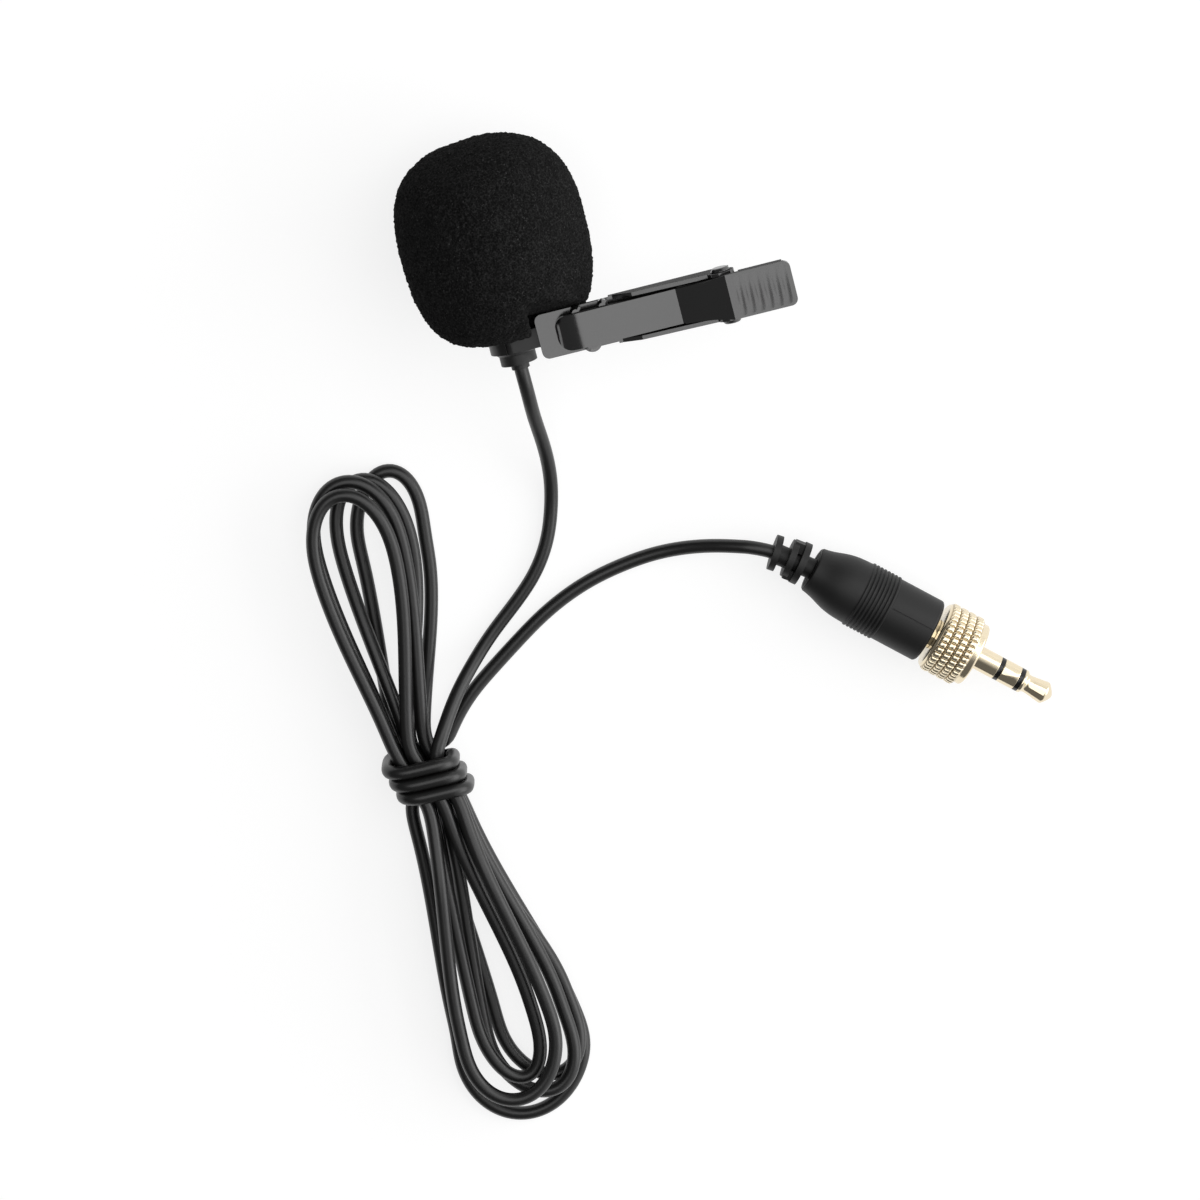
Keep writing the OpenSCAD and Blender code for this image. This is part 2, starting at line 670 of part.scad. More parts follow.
module clip_lever() {
    rib_pitch = (grip_len - 1.4) / grip_ribs;
    rib_r = (lever_t + rib_h) / 2 - 0.05;
    color([0.1, 0.1, 0.105]) on_head() translate([0, clip_y, 0]) difference() {
        union() {
            intersection() {
                lever_sheet(jaw_w, nose_x0 - 1, neck_x0 + 0.1);
                translate([0, 0, plate_z1 - 1])
                    plate(nose_x0, neck_x0 + 0.2, jaw_w, grip_rise, 1.5, true, false);
            }
            lever_neck();
            translate([0, 0, grip_z1 - lever_t])
                plate(grip_x0, clip_end, grip_w, lever_t, corner_r, false, true);
            for (k = [0:grip_ribs - 1])
                translate([grip_x0 + 0.9 + (k + 0.5) * rib_pitch, grip_w / 2 - 0.7, grip_z1 + rib_h - rib_r])
                    rotate([90, 0, 0]) cylinder(h = grip_w - 1.4, r = rib_r, $fn = 24);
            for (s = [-1, 1]) {
                lever_side(s);
                grip_wall(s);
            }
            lever_tooth(rivet_x - 2.8, jaw_w / 2, 0.85);
            lever_tooth(rivet_x + 1.1, jaw_w / 2, 0.85);
            lever_tooth(rivet_x - 1.6, 0.3 - jaw_w / 2, 1.4);
        }
        translate([pivot_x, 0, pivot_z]) along_y(-grip_w) cylinder(h = 2 * grip_w, d = pin_d + 2 * running);
    }
}

module pivot_pin() {
    color([0.15, 0.15, 0.15]) on_head() translate([pivot_x, clip_y, pivot_z]) {
        along_y(-flange_w / 2) cylinder(h = flange_w, d = pin_d);
        along_y(-flange_w / 2 - pin_head_t) cylinder(h = pin_head_t, d1 = pin_head_d - 0.7, d2 = pin_head_d);
        along_y(flange_w / 2) cylinder(h = pin_head_t, d1 = pin_head_d, d2 = pin_head_d - 0.7);
    }
}

// Coil round the pin, one leg on the plate's tail and one under the grip
module torsion_spring() {
    coil_r = pin_d / 2 + 0.25 + spring_wire_d / 2;
    pitch = spring_wire_d + 0.06;
    steps = 8 * spring_turns + 4;
    y0 = -pitch * steps / 16;
    leg_x = 5.5;
    low_z = -pivot_rise + spring_wire_d / 2 + fit;
    high_z = grip_rise - pivot_rise - lever_t - spring_wire_d / 2 - fit;
    coil = [for (i = [0:steps]) let (a = -90 - 45 * i)
        [coil_r * cos(a), y0 + pitch * i / 8, coil_r * sin(a)]];
    first = [leg_x, y0, low_z];
    last = [leg_x, y0 + pitch * steps / 8, high_z];
    route = concat([first, first - [2.2, 0, 0]], coil, [last - [2.2, 0, 0], last]);
    color([0.6, 0.6, 0.6]) on_head() translate([pivot_x, clip_y, pivot_z])
        cord(route, spring_wire_d / 2, 6);
}

// ---- cable ----

module cable_mic_lead() { color([0.04, 0.04, 0.04]) cord(mic_lead_route(), cable_d / 2, 8); }

module cable_hank() {
    route = hank_route();
    print_gap("cable_hank", route, 3, 12);
    color([0.04, 0.04, 0.04]) cord(route, cable_d / 2, 6);
}

module cable_wrap() {
    route = tie_route();
    print_gap("cable_wrap", route, 2, 14);
    color([0.04, 0.04, 0.04]) cord(route, cable_d / 2, 6);
}

module cable_plug_lead() {
    echo(mic_lead = length_of(mic_lead_route()), plug_lead = length_of(plug_lead_route()));
    color([0.04, 0.04, 0.04]) cord(plug_lead_route(), cable_d / 2, 8);
}

// ---- plug ----

// Point of the bent strain relief at a distance behind the sleeve, in the plug's frame
function relief_turn(back) = relief_bend * back / relief_len;

function relief_point(back) = let (r = relief_len * 180 / (PI * relief_bend), a = relief_turn(back))
    [body_x0 - r * sin(a), -r * (1 - cos(a)), 0];

module at_relief(back) {
    translate(relief_point(back)) rotate([0, 0, relief_turn(back)]) rotate([0, 90, 0]) children();
}

// Discs on a thin waist, the two larger ones joined by a bar on each side
module relief() {
    disc = 0.95;
    waist_d = 3;
    translate(relief_point(relief_len)) rotate([0, 0, relief_bend / 2])
        along_x(disc / 2) cylinder(h = relief_len, d = waist_d);
    at_relief(relief_len) cylinder(h = disc, d = relief_d - 1.1);
    at_relief(3.9) cylinder(h = disc, d = relief_d - 0.7);
    at_relief(2.3) cylinder(h = disc, d = relief_d);
    for (s = [-1, 1]) at_relief(3.9) translate([-1.1, s * relief_d / 3 - 0.8, 0.3]) cube([2.2, 1.5, 1.9]);
}

module plug_outline() {
    rib_zone_x = 7.55;
    rib_zone = 4.6;
    rib_w = rib_zone / plug_ribs;
    // Share of the widening at each place behind the ribs
    swell = [[0.2, 0], [1, 0.1], [2, 0.29], [3, 0.53], [4, 0.74], [5.2, 0.9], [6.4, 0.97]];
    curve = [for (c = swell) [plug_rear_d / 2 + (plug_d - plug_rear_d) / 2 * c[1], c[0]]];
    ribs = [for (k = [0:plug_ribs - 1]) for (c = [[0.2, 0], [0.2, 0.6], [-0.05, 0.62], [-0.05, 0.98]])
        [plug_d / 2 + c[0], rib_zone_x + (k + c[1]) * rib_w]];
    polygon(concat([[0, 0], [plug_rear_d / 2 - 0.2, 0]], curve, ribs, [
        [plug_d / 2, rib_zone_x + rib_zone], [plug_d / 2, plug_len - 0.25], [plug_d / 2 - 0.25, plug_len],
        [0, plug_len]
    ]));
}

module plug_body() {
    color([0.07, 0.07, 0.075]) on_plug() difference() {
        union() {
            relief();
            along_x(body_x0) rotate_extrude($fn = 72) plug_outline();
        }
        along_x(core_x0) cylinder(h = plug_len, d = core_d_of_plug + 2 * fit);
        along_x(wire_x0) cylinder(h = plug_len / 2, d = wire_room_d);
    }
}

module plug_core() {
    color([0.85, 0.85, 0.8]) on_plug() difference() {
        along_x(core_x0) cylinder(h = body_x1 - core_x0 - 0.3, d = core_d_of_plug);
        along_x(sleeve_x0) cylinder(h = plug_len, d = neck_d + 2 * fit);
    }
}

module plug_wires() {
    color([0.7, 0.25, 0.15]) on_plug() for (k = [0:2]) along_x(wire_x0) rotate([0, 0, 120 * k])
        translate([core_d * 0.8, 0, 0]) cylinder(h = core_x0 - wire_x0, d = core_d, $fn = 24);
}

module jack_sleeve() {
    color([0.85, 0.72, 0.45]) on_plug() difference() {
        union() {
            along_x(sleeve_x0) cylinder(h = sleeve_step_x - sleeve_x0, d = neck_d);
            along_x(sleeve_step_x) cylinder(h = sleeve_x1 - sleeve_step_x, d = jack_d);
        }
        along_x(sleeve_x0 - 1) cylinder(h = tip_x1, r = rear_liner_r + fit);
    }
}

module insulator_rear() {
    color([0.06, 0.06, 0.06]) on_plug() difference() {
        union() {
            along_x(sleeve_x0) cylinder(h = sleeve_x1 - sleeve_x0 + 0.1, r = rear_liner_r);
            along_x(sleeve_x1) cylinder(h = band_len, d = jack_d);
        }
        along_x(sleeve_x0 - 1) cylinder(h = tip_x1, r = contact_tube_r + fit);
    }
}

module jack_ring() {
    color([0.85, 0.72, 0.45]) on_plug() difference() {
        union() {
            along_x(sleeve_x0) cylinder(h = contact_x0 - sleeve_x0 + 0.1, r = contact_tube_r);
            along_x(contact_x0) cylinder(h = contact_len, d = jack_d);
        }
        along_x(sleeve_x0 - 1) cylinder(h = tip_x1, r = front_liner_r + fit);
    }
}

module insulator_front() {
    color([0.06, 0.06, 0.06]) on_plug() difference() {
        union() {
            along_x(sleeve_x0) cylinder(h = contact_x1 - sleeve_x0 + 0.1, r = front_liner_r);
            along_x(contact_x1) cylinder(h = band_len, d = jack_d);
        }
        along_x(sleeve_x0 - 1) cylinder(h = tip_x1, r = rod_r + fit);
    }
}

module jack_tip() {
    nick = 0.75;
    color([0.85, 0.72, 0.45]) on_plug() {
        along_x(sleeve_x0) cylinder(h = tip_x0 - sleeve_x0 + 0.1, r = rod_r);
        along_x(tip_x0) rotate_extrude() polygon([
            [0, 0], [jack_d / 2, 0], [jack_d / 2, 0.25], [jack_d / 2 - 0.45, nick],
            [jack_d / 2 - 0.45, nick + 0.35], [jack_d / 2 - 0.05, 2.5], [jack_d / 2 - 0.12, 2.95],
            [jack_d / 2 - 0.75, tip_len - 0.45], [jack_d / 2 - 1.2, tip_len - 0.08], [0, tip_len]
        ]);
    }
}

// Ring with a chamfered rear edge, rope-grooved bands and a smooth front collar
module lock_ring() {
    chamfer = 0.4;
    groove = 0.3;
    bands = 4;
    band = (lock_len - lock_collar_len - chamfer) / bands;
    steps = [for (k = [1:bands - 1]) for (c = [[0, -0.16], [-groove, -0.1], [-groove, 0.1], [0, 0.16]])
        [lock_d / 2 + c[0], chamfer + k * band + c[1]]];
    color([0.88, 0.75, 0.48]) on_plug() along_x(lock_x0) difference() {
        rotate_extrude($fn = 96) polygon(concat(
            [[0, 0], [lock_d / 2 - chamfer, 0], [lock_d / 2, chamfer]],
            steps,
            [[lock_d / 2, lock_len - lock_collar_len], [lock_d / 2 - 0.55, lock_len - lock_collar_len + 0.05],
                [lock_d / 2 - 0.55, lock_len - 0.2], [lock_d / 2 - 0.75, lock_len], [0, lock_len]]
        ));
        translate([0, 0, -1]) cylinder(h = lock_len, d = neck_d + 2 * running);
        translate([0, 0, lock_wall]) cylinder(h = lock_len, d = thread_d - 0.5);
    }
}

module lock_retainer() {
    color([0.8, 0.68, 0.42]) on_plug()
        tube_x(retainer_x0, retainer_x0 + retainer_t, neck_d / 2 + 0.3, neck_d / 2 + fit);
}

windscreen();
mic_housing();
grille_cap();
dust_cloth();
capsule_can();
capsule_gasket();
capsule_board();
core_wires();
cable_boot();
holder_ring();
ring_rivet();
clip_base();
clip_lever();
pivot_pin();
torsion_spring();
cable_mic_lead();
cable_hank();
cable_wrap();
cable_plug_lead();
plug_body();
plug_core();
plug_wires();
jack_sleeve();
jack_ring();
jack_tip();
insulator_rear();
insulator_front();
lock_ring();
lock_retainer();
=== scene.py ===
# %% [markdown]
# # A clip-on microphone, dressed for close viewing
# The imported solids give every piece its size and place. This lesson puts looks on them: foam
# with open cells, a rubber-covered cable, enamelled sheet metal and gold-plated contacts.
# Everything stays in the frame of the solids, so a piece that is made here needs no fitting
# afterwards. Lengths are written in millimetres and become metres on their way to Blender.

# %% Load the solids
import math
import bpy
import bmesh
import numpy as np
from mathutils import Matrix, Vector, noise


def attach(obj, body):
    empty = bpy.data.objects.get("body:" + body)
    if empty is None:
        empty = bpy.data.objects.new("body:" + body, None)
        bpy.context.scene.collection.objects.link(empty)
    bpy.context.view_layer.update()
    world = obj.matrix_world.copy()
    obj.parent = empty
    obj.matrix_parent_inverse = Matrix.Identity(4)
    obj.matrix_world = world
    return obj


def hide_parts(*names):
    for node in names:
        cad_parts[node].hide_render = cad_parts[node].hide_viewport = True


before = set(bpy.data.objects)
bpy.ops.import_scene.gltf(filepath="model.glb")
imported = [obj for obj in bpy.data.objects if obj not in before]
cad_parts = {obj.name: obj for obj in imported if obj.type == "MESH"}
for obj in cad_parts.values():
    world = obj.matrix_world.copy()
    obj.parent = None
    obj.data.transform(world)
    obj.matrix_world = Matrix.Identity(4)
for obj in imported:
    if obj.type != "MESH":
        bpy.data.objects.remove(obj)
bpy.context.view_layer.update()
MM = 0.001
# the microphone's axis where the clip's ring holds it, and the clip's middle line, in mm
HEAD_X, HEAD_Y, HEAD_Z = -13.4, -12.5, 13.4
CLIP_Y = -12.6

# %% [markdown]
# The camera stands nearly above the table, a little to the head's side, and is rolled so that
# the clip rises to the right. A long lens from 0.9 m keeps the small object free of
# perspective swelling. The camera comes first, because the cable's spread is judged by it.

# %% Camera
def linked(name, data):
    """A new object that holds this data, linked to the scene."""
    thing = bpy.data.objects.new(name, data)
    bpy.context.scene.collection.objects.link(thing)
    return thing


CAMERA_AWAY = 0.9
aim = Vector((-11.513, -54.591, 0)) * MM
table_right = Vector((0.9694, -0.2453, 0))
view_back = Vector((0.0510, 0.2016, 0.9781))
view_up = view_back.cross(table_right).normalized()
view_right = view_up.cross(view_back).normalized()
camera = linked("camera", bpy.data.cameras.new("camera"))
camera.data.lens = 187.76
camera.data.sensor_width = 36
camera.data.clip_start = 0.01
camera.data.clip_end = 50
turn = Matrix((view_right, view_up, view_back.normalized())).transposed().to_4x4()
camera.matrix_world = Matrix.Translation(aim + view_back * CAMERA_AWAY) @ turn
bpy.context.scene.camera = camera
bpy.context.scene.view_settings.view_transform = "Standard"
print("camera at", [round(c, 3) for c in camera.location])

# %% [markdown]
# The cable is one limp 2 mm cord. It leaves the microphone, curves down to the table, runs
# into a hank of nine folds, comes back to the waist, is wound round it three times and goes
# on to the plug. The folds fan out from the waist and cross each other at the far ends, so
# each has its own height there. Hundreds of points could be placed by hand, but a rule can be
# changed afterwards, so each fold is one line of numbers here.

# %% The hank's layout
CABLE_D = 2.0
FLOOR_Z = CABLE_D / 2
WAIST = (-41.6, -72.1)
WAIST_LEAN = 0.27
WAIST_HALF = 5
HANK_MIDDLE_Y = -72.4
COLUMN = 2.25
LAYER = 2.12
FIRST_RUN_Z = 3.15
# column and layer of each run through the waist, in the order that the cable makes them
RUNS = [(1, 2), (-1, 2), (0, 2), (-1, 1), (1, 1), (0, 1), (0, 0), (-1, 0), (1, 0)]
# side, run in, run out, middle x, half width, reach, half depth, level, turn
FOLDS = [
    (-1, 0, 1, -39.6, 6.8, 49.4, 9.5, 4, -8), (1, 1, 2, -43.5, 5.7, 43.6, 9.5, 3, 0),
    (-1, 2, 3, -39.6, 4.2, 47.2, 9, 3, 6), (1, 3, 4, -42.7, 6.2, 44.9, 9.5, 2, 0),
    (-1, 4, 5, -37.1, 6, 50.5, 9.5, 2, 12), (1, 5, 6, -40.5, 5.2, 44.4, 9.5, 1, 0),
    (-1, 6, 7, -35.6, 5.6, 48.9, 9, 1, 12), (1, 7, 8, -38.2, 4.9, 44.6, 9.5, 0, -14),
    (-1, 8, -1, -38.6, 9.3, 54.1, 11.5, 0, -16),
]
LOOSE_END = (-45.6, -83)


def eased(t):
    """A soft step from 0 to 1."""
    t = min(1, max(0, t))
    return t * t * (3 - 2 * t)


def fanned(s, side):
    """How far a leg has spread after a share s of its way; the lower ones spread later."""
    return math.sin(math.radians(90 * s ** (1.25 if side > 0 else 1.5)))


def run_end(run, side):
    column, layer = RUNS[run]
    return (WAIST[0] + column * COLUMN - WAIST_LEAN * side * WAIST_HALF,
            WAIST[1] + side * WAIST_HALF, FIRST_RUN_Z + LAYER * layer)


print("runs at the waist:", len(RUNS), "folds:", len(FOLDS))

# %% [markdown]
# A leg goes from the waist to a fold. It spreads sideways at once, the lower legs a little
# later, and climbs or sinks smoothly, early when it has to get under the others. A fold is
# half an ellipse, turned a little about its middle.

# %% Legs and folds
LEG_STEPS = 7
FOLD_STEPS = 10


def leg(a, b, side):
    rise = 0.16 if b[2] < 1.5 else 0.35 if b[2] > a[2] + 0.1 else 0.75
    shares = [i / LEG_STEPS for i in range(LEG_STEPS)]
    return [(a[0] + (b[0] - a[0]) * fanned(s, side), a[1] + (b[1] - a[1]) * s,
             a[2] + (b[2] - a[2]) * eased(s / rise)) for s in shares]


def last_leg(a, b, side):
    """The leg that leaves the last fold for the tie, along the table."""
    shares = [i / LEG_STEPS for i in range(1, LEG_STEPS + 1)]
    return [(a[0] + (b[0] - a[0]) * (1 - fanned(1 - s, side)), a[1] + (b[1] - a[1]) * s, a[2])
            for s in shares]


def fold(side, run_in, run_out, middle, half_w, reach, depth, level, turned):
    centre = (middle, HANK_MIDDLE_Y + side * (reach - depth))
    t, points = math.radians(turned), []
    for i in range(FOLD_STEPS + 1):
        a = math.pi * i / FOLD_STEPS
        dx, dy = -side * half_w * math.cos(a), side * depth * math.sin(a)
        points.append((centre[0] + dx * math.cos(t) - dy * math.sin(t),
                       centre[1] + dx * math.sin(t) + dy * math.cos(t),
                       FLOOR_Z + LAYER * level))
    under_tie = tuple((p + q) / 2 for p, q in zip(run_end(run_in, 1), run_end(run_in, -1)))
    way_in = [under_tie] + leg(run_end(run_in, side), points[0], side)
    if run_out < 0:
        way_out = last_leg(points[-1], LOOSE_END, side)
    else:
        way_out = leg(run_end(run_out, side), points[-1], side)[::-1]
    return way_in + points + way_out


folds = [point for row in FOLDS for point in fold(*row)]
print("points in the folds:", len(folds))

# %% [markdown]
# The tie is a squared spiral: under the runs, up the side, over and down again, each turn
# lying against the last. Three turns show on top, and the fourth pass underneath lets the
# cord out towards the plug.

# %% The tie
TIE_HALF_W = 4.45
TIE_HALF_H = 4.3
TIE_CORNER = 2.2
TIE_PITCH = 2.06
TIE_QUARTERS = 12
TIE_TOP_Y = -69.35
TIE_Y0 = TIE_TOP_Y - 3 * TIE_PITCH
TIE_Z = FLOOR_Z + TIE_HALF_H
ENTRY_R = 1.85


def tie_corner(quarter):
    """A straight and a rounded corner: one quarter of a turn round the runs."""
    flat_half, points = TIE_HALF_W - TIE_CORNER, []
    for i in range(5):
        a = math.radians(90 * max(0, i - 1) / 4)
        if i == 0:
            x, z = -flat_half, -TIE_HALF_W
        else:
            x, z = flat_half + TIE_CORNER * math.sin(a), -flat_half - TIE_CORNER * math.cos(a)
        for _ in range(quarter % 4):
            x, z = -z, x
        y = TIE_Y0 + TIE_PITCH * (quarter + i / 5) / 4
        points.append((WAIST[0] + x + WAIST_LEAN * (WAIST[1] - y), y,
                       TIE_Z + z * TIE_HALF_H / TIE_HALF_W))
    return points


def tie_path():
    start = [(LOOSE_END[0], LOOSE_END[1] + CABLE_D, FLOOR_Z)]
    for i in range(4):
        a = math.radians(22.5 * i)
        start.append((LOOSE_END[0] + ENTRY_R * (1 - math.cos(a)),
                      TIE_Y0 - ENTRY_R * (1 - math.sin(a)), FLOOR_Z))
    turns = [point for quarter in range(TIE_QUARTERS) for point in tie_corner(quarter)]
    out = tie_corner(TIE_QUARTERS)
    return start + turns + [out[0], tuple((p + q) / 2 for p, q in zip(out[0], out[1]))]


tie = tie_path()
print("points in the tie:", len(tie))

# %% [markdown]
# The two free stretches follow no rule, so their points are listed: one drops from the boot's
# height to the table and climbs again to the top run of the hank, and the other comes out from
# under the tie and rises to the middle of the plug. A curve through all the points gives the
# whole route, and a few rounds of averaging take out the kinks that stiffness wouldn't allow.

# %% The free stretches and the whole route
MIC_LEAD = [
    (-13.4, -16.3, 13.4), (-13.4, -17.6, 13.4), (-13.4, -18.9, 13.25), (-13.4, -20.6, 12.5),
    (-13.5, -22.4, 11.2), (-13.6, -25, 9), (-13.5, -28, 6.6), (-13.5, -31, 4.5), (-13.7, -34, 2.8),
    (-14.2, -37, 1.6), (-15, -39.8, 1.1), (-16.5, -43.8, 1), (-19.6, -48.4, 1),
    (-23.6, -52, 1), (-28, -55.5, 1.2), (-31.4, -58.7, 2.2), (-34, -61.3, 3.8),
    (-36, -63.8, 5.5), (-37.6, -66.2, 6.8), (-38.9, -68.3, 7.3), (-39.6, -70.2, 7.39),
]
PLUG_LEAD = [
    (-38.9, -69.1, 1), (-37.8, -68.6, 1), (-36.9, -67.6, 1), (-35.5, -65.8, 1),
    (-32.7, -63, 1), (-28.9, -60.3, 1), (-24.6, -57.4, 1), (-20.2, -54.6, 1),
    (-15.9, -52.5, 1), (-11.5, -51, 1), (-7, -50.1, 1.1), (-3, -49.6, 1.4), (1, -49.55, 2),
    (5, -49.88, 3.2), (8, -50.38, 4.4), (10.6, -51.05, 5.1), (12.63, -51.84, 5.3),
    (14.31, -52.72, 5.3), (15.15, -53.26, 5.3),
]
route = np.array(MIC_LEAD + folds + tie + PLUG_LEAD)
FINER, PATH_STEP, ROUNDS = 12, 0.6, 22
TIE_REACH, TIE_ENTRY_Y = 6.5, -75.9


def smooth_path(points, step):
    """A curve through the points, with new points at even steps along it."""
    p = np.vstack([2 * points[0] - points[1], points, 2 * points[-1] - points[-2]])
    knots = np.concatenate([[0], np.cumsum(np.sqrt(np.linalg.norm(np.diff(p, axis=0), axis=1)))])
    fine = []
    for i in range(1, len(p) - 2):
        t0, t1, t2, t3 = knots[i - 1:i + 3]
        for t in np.linspace(t1, t2, FINER, endpoint=False):
            a1 = ((t1 - t) * p[i - 1] + (t - t0) * p[i]) / (t1 - t0)
            a2 = ((t2 - t) * p[i] + (t - t1) * p[i + 1]) / (t2 - t1)
            a3 = ((t3 - t) * p[i + 1] + (t - t2) * p[i + 2]) / (t3 - t2)
            b1 = ((t2 - t) * a1 + (t - t0) * a2) / (t2 - t0)
            b2 = ((t3 - t) * a2 + (t - t1) * a3) / (t3 - t1)
            fine.append(((t2 - t) * b1 + (t - t1) * b2) / (t2 - t1))
    fine = np.array(fine + [p[-2]])
    gone = np.concatenate([[0], np.cumsum(np.linalg.norm(np.diff(fine, axis=0), axis=1))])
    even = np.linspace(0, gone[-1], int(gone[-1] / step) + 1)
    return np.stack([np.interp(even, gone, fine[:, k]) for k in range(3)], axis=1)


def relaxed(path, rounds):
    """Evens out the bends outside the tie, as the cable's own stiffness does."""
    path = path.copy()
    tie_middle_y = TIE_Y0 + 1.5 * TIE_PITCH
    in_tie = ((np.abs(path[:, 1] - tie_middle_y) < TIE_REACH)
              & (np.abs(path[:, 0] - WAIST[0]) < TIE_REACH)
              & ((path[:, 1] > TIE_ENTRY_Y) | (path[:, 2] > FLOOR_Z + 0.2)))
    near_tie = np.convolve(in_tie, np.ones(9) / 9, "same")
    share = (0.5 * (1 - near_tie))[1:-1, None]
    # the boot and the plug hold the ends
    share[:6, 0] *= np.linspace(0, 0.8, 6)
    share[-8:] = 0
    for _ in range(rounds):
        path[1:-1] += share * ((path[:-2] + path[2:]) / 2 - path[1:-1])
        path[:, 2] = np.maximum(path[:, 2], FLOOR_Z)
    return path


cable_path = relaxed(smooth_path(route, PATH_STEP), ROUNDS)
cable_length = np.linalg.norm(np.diff(cable_path, axis=0), axis=1).sum()
print("cable: %d points, %.1f mm long" % (len(cable_path), cable_length))

# %% [markdown]
# Patterns are sums of values: a colour depends on a noise, a line shows where a distance is
# small. In Blender each plus and minus is a node, which soon hides the idea. The class Flow
# wraps a socket, so that a sum can be written as a sum, and Graph adds any other node.

# %% Sums and nodes
def math_node(how, flipped=False):
    """A method that feeds a Flow and its partner to one Math node."""
    def method(flow, *others):
        values = (*others, flow) if flipped else (flow, *others)
        return flow.graph.node("ShaderNodeMath", {"operation": how}, dict(enumerate(values)))[0]
    return method


class Flow:
    """The value on one output socket, for use in sums."""

    def __init__(self, graph, socket):
        self.graph = graph
        self.socket = socket

    __add__ = __radd__ = math_node("ADD")
    __sub__ = math_node("SUBTRACT")
    __rsub__ = math_node("SUBTRACT", flipped=True)
    __mul__ = __rmul__ = math_node("MULTIPLY")
    __truediv__ = math_node("DIVIDE")
    __rtruediv__ = math_node("DIVIDE", flipped=True)
    __mod__ = math_node("MODULO")
    __pow__ = math_node("POWER")
    floor = math_node("FLOOR")
    sine = math_node("SINE")
    cosine = math_node("COSINE")
    size = math_node("ABSOLUTE")
    least = math_node("MINIMUM")
    over = math_node("GREATER_THAN")

    def rise(self, low, high):
        """0 below low, 1 above high and a soft step between them."""
        return self.graph.node("ShaderNodeMapRange", {"interpolation_type": "SMOOTHSTEP"},
                               {"Value": self, "From Min": low, "From Max": high})["Result"]


class Made:
    """A node that has been made; square brackets give an output."""

    def __init__(self, graph, node):
        self.graph = graph
        self.node = node

    def __getitem__(self, key):
        return Flow(self.graph, self.node.outputs[key])


class Graph:
    """A shader or geometry tree that is being built."""

    def __init__(self, tree):
        self.tree = tree

    def node(self, kind, settings=None, sockets=None):
        made = self.tree.nodes.new(kind)
        for key, value in (settings or {}).items():
            if key != "stops":
                setattr(made, key, value)
                continue
            stops = made.color_ramp.elements
            stops.remove(stops[1])
            stops[0].position, stops[0].color = value[0][0], (*value[0][1], 1)
            for place, colour in value[1:]:
                stops.new(place).color = (*colour, 1)
        for key, value in (sockets or {}).items():
            if isinstance(value, Flow):
                self.tree.links.new(value.socket, made.inputs[key])
            else:
                made.inputs[key].default_value = value
        return Made(self, made)

    def vector(self, how, *values):
        out = 1 if how in ("DOT_PRODUCT", "LENGTH") else 0
        return self.node("ShaderNodeVectorMath", {"operation": how}, dict(enumerate(values)))[out]


print("graph helpers ready")

# %% [markdown]
# A finish is one Principled surface. Its patterns are placed by object coordinates, in metres,
# so a noise of scale 2500 has grains of 0.4 mm wherever the piece is used.

# %% A finish
def shade(value, warm=0.0):
    """A grey, a little warmer where warm is above 0."""
    return (value * (1 + warm), value, value * (1 - warm))


class Finish(Graph):
    """A material under construction."""

    def __init__(self, name):
        self.material = bpy.data.materials.new(name)
        self.material.use_nodes = True
        super().__init__(self.material.node_tree)
        self.place = self.node("ShaderNodeTexCoord")["Object"]

    def grain(self, scale, detail=2.0, rough=0.5, place=None):
        return self.node("ShaderNodeTexNoise", None, {
            "Vector": place or self.place, "Scale": scale, "Detail": detail,
            "Roughness": rough})["Fac"]

    def rings(self, along, scale, rough):
        """A noise that changes only along an axis, as the marks of a lathe do."""
        return self.node("ShaderNodeTexNoise", {"noise_dimensions": "1D"}, {
            "W": along, "Scale": scale, "Detail": 3.0, "Roughness": rough})["Fac"]

    def stretched(self, x, y, z):
        return self.vector("MULTIPLY", self.place, (x, y, z))

    def ramp(self, value, *stops):
        return self.node("ShaderNodeValToRGB", {"stops": stops}, {"Fac": value})["Color"]

    def blend(self, factor, a, b):
        sockets = {0: factor, 6: (*a, 1) if isinstance(a, tuple) else a,
                   7: (*b, 1) if isinstance(b, tuple) else b}
        return self.node("ShaderNodeMix", {"data_type": "RGBA"}, sockets)[2]

    def relief(self, height, depth_mm):
        return self.node("ShaderNodeBump", None, {
            "Height": height, "Distance": depth_mm * MM, "Strength": 1.0})["Normal"]

    def surface(self, **values):
        shader = self.tree.nodes["Principled BSDF"]
        for key, value in values.items():
            socket = shader.inputs[key.replace("_", " ")]
            if isinstance(value, Flow):
                self.tree.links.new(value.socket, socket)
            else:
                socket.default_value = (*value, 1) if isinstance(value, tuple) else value
        return self.material


print("finish helper ready")

# %% [markdown]
# Open-cell foam has no smooth skin: it is a sponge of thin black ribs with holes of a few
# tenths of a millimetre. The grey specks are painted highlights on single ribs, and the dark
# holes are painted shade. Two cell patterns and a noise set the colour, and the same sum drives
# the relief.

# %% Foam finish
def foam_finish():
    f = Finish("open_cell_foam")
    cells = f.node("ShaderNodeTexVoronoi", {"feature": "F1"},
                   {"Vector": f.place, "Scale": 3600.0, "Randomness": 1.0})["Distance"]
    pores = f.grain(4200.0, 3.0, 0.7)
    # glint_specks: painted highlights on single ribs; the dark end of the ribs ramp is painted
    # shade in the holes
    glint_specks = f.grain(3300.0, 2.0, 0.6).rise(0.60, 0.74)
    patches = f.grain(420.0, 3.0)
    ribs = cells * 0.5 + pores * 0.6 + patches * 0.25
    colour = f.ramp(ribs, (0.42, shade(0.0015)), (0.66, shade(0.007)), (0.9, shade(0.022)))
    colour = f.blend(glint_specks * 0.5, colour, shade(0.10))
    return f.surface(Base_Color=colour, Roughness=0.95 - glint_specks * 0.1, Specular_IOR_Level=0.12,
                     Normal=f.relief(ribs + glint_specks * 0.3, 0.2))


FOAM = foam_finish()
print("made", FOAM.name)

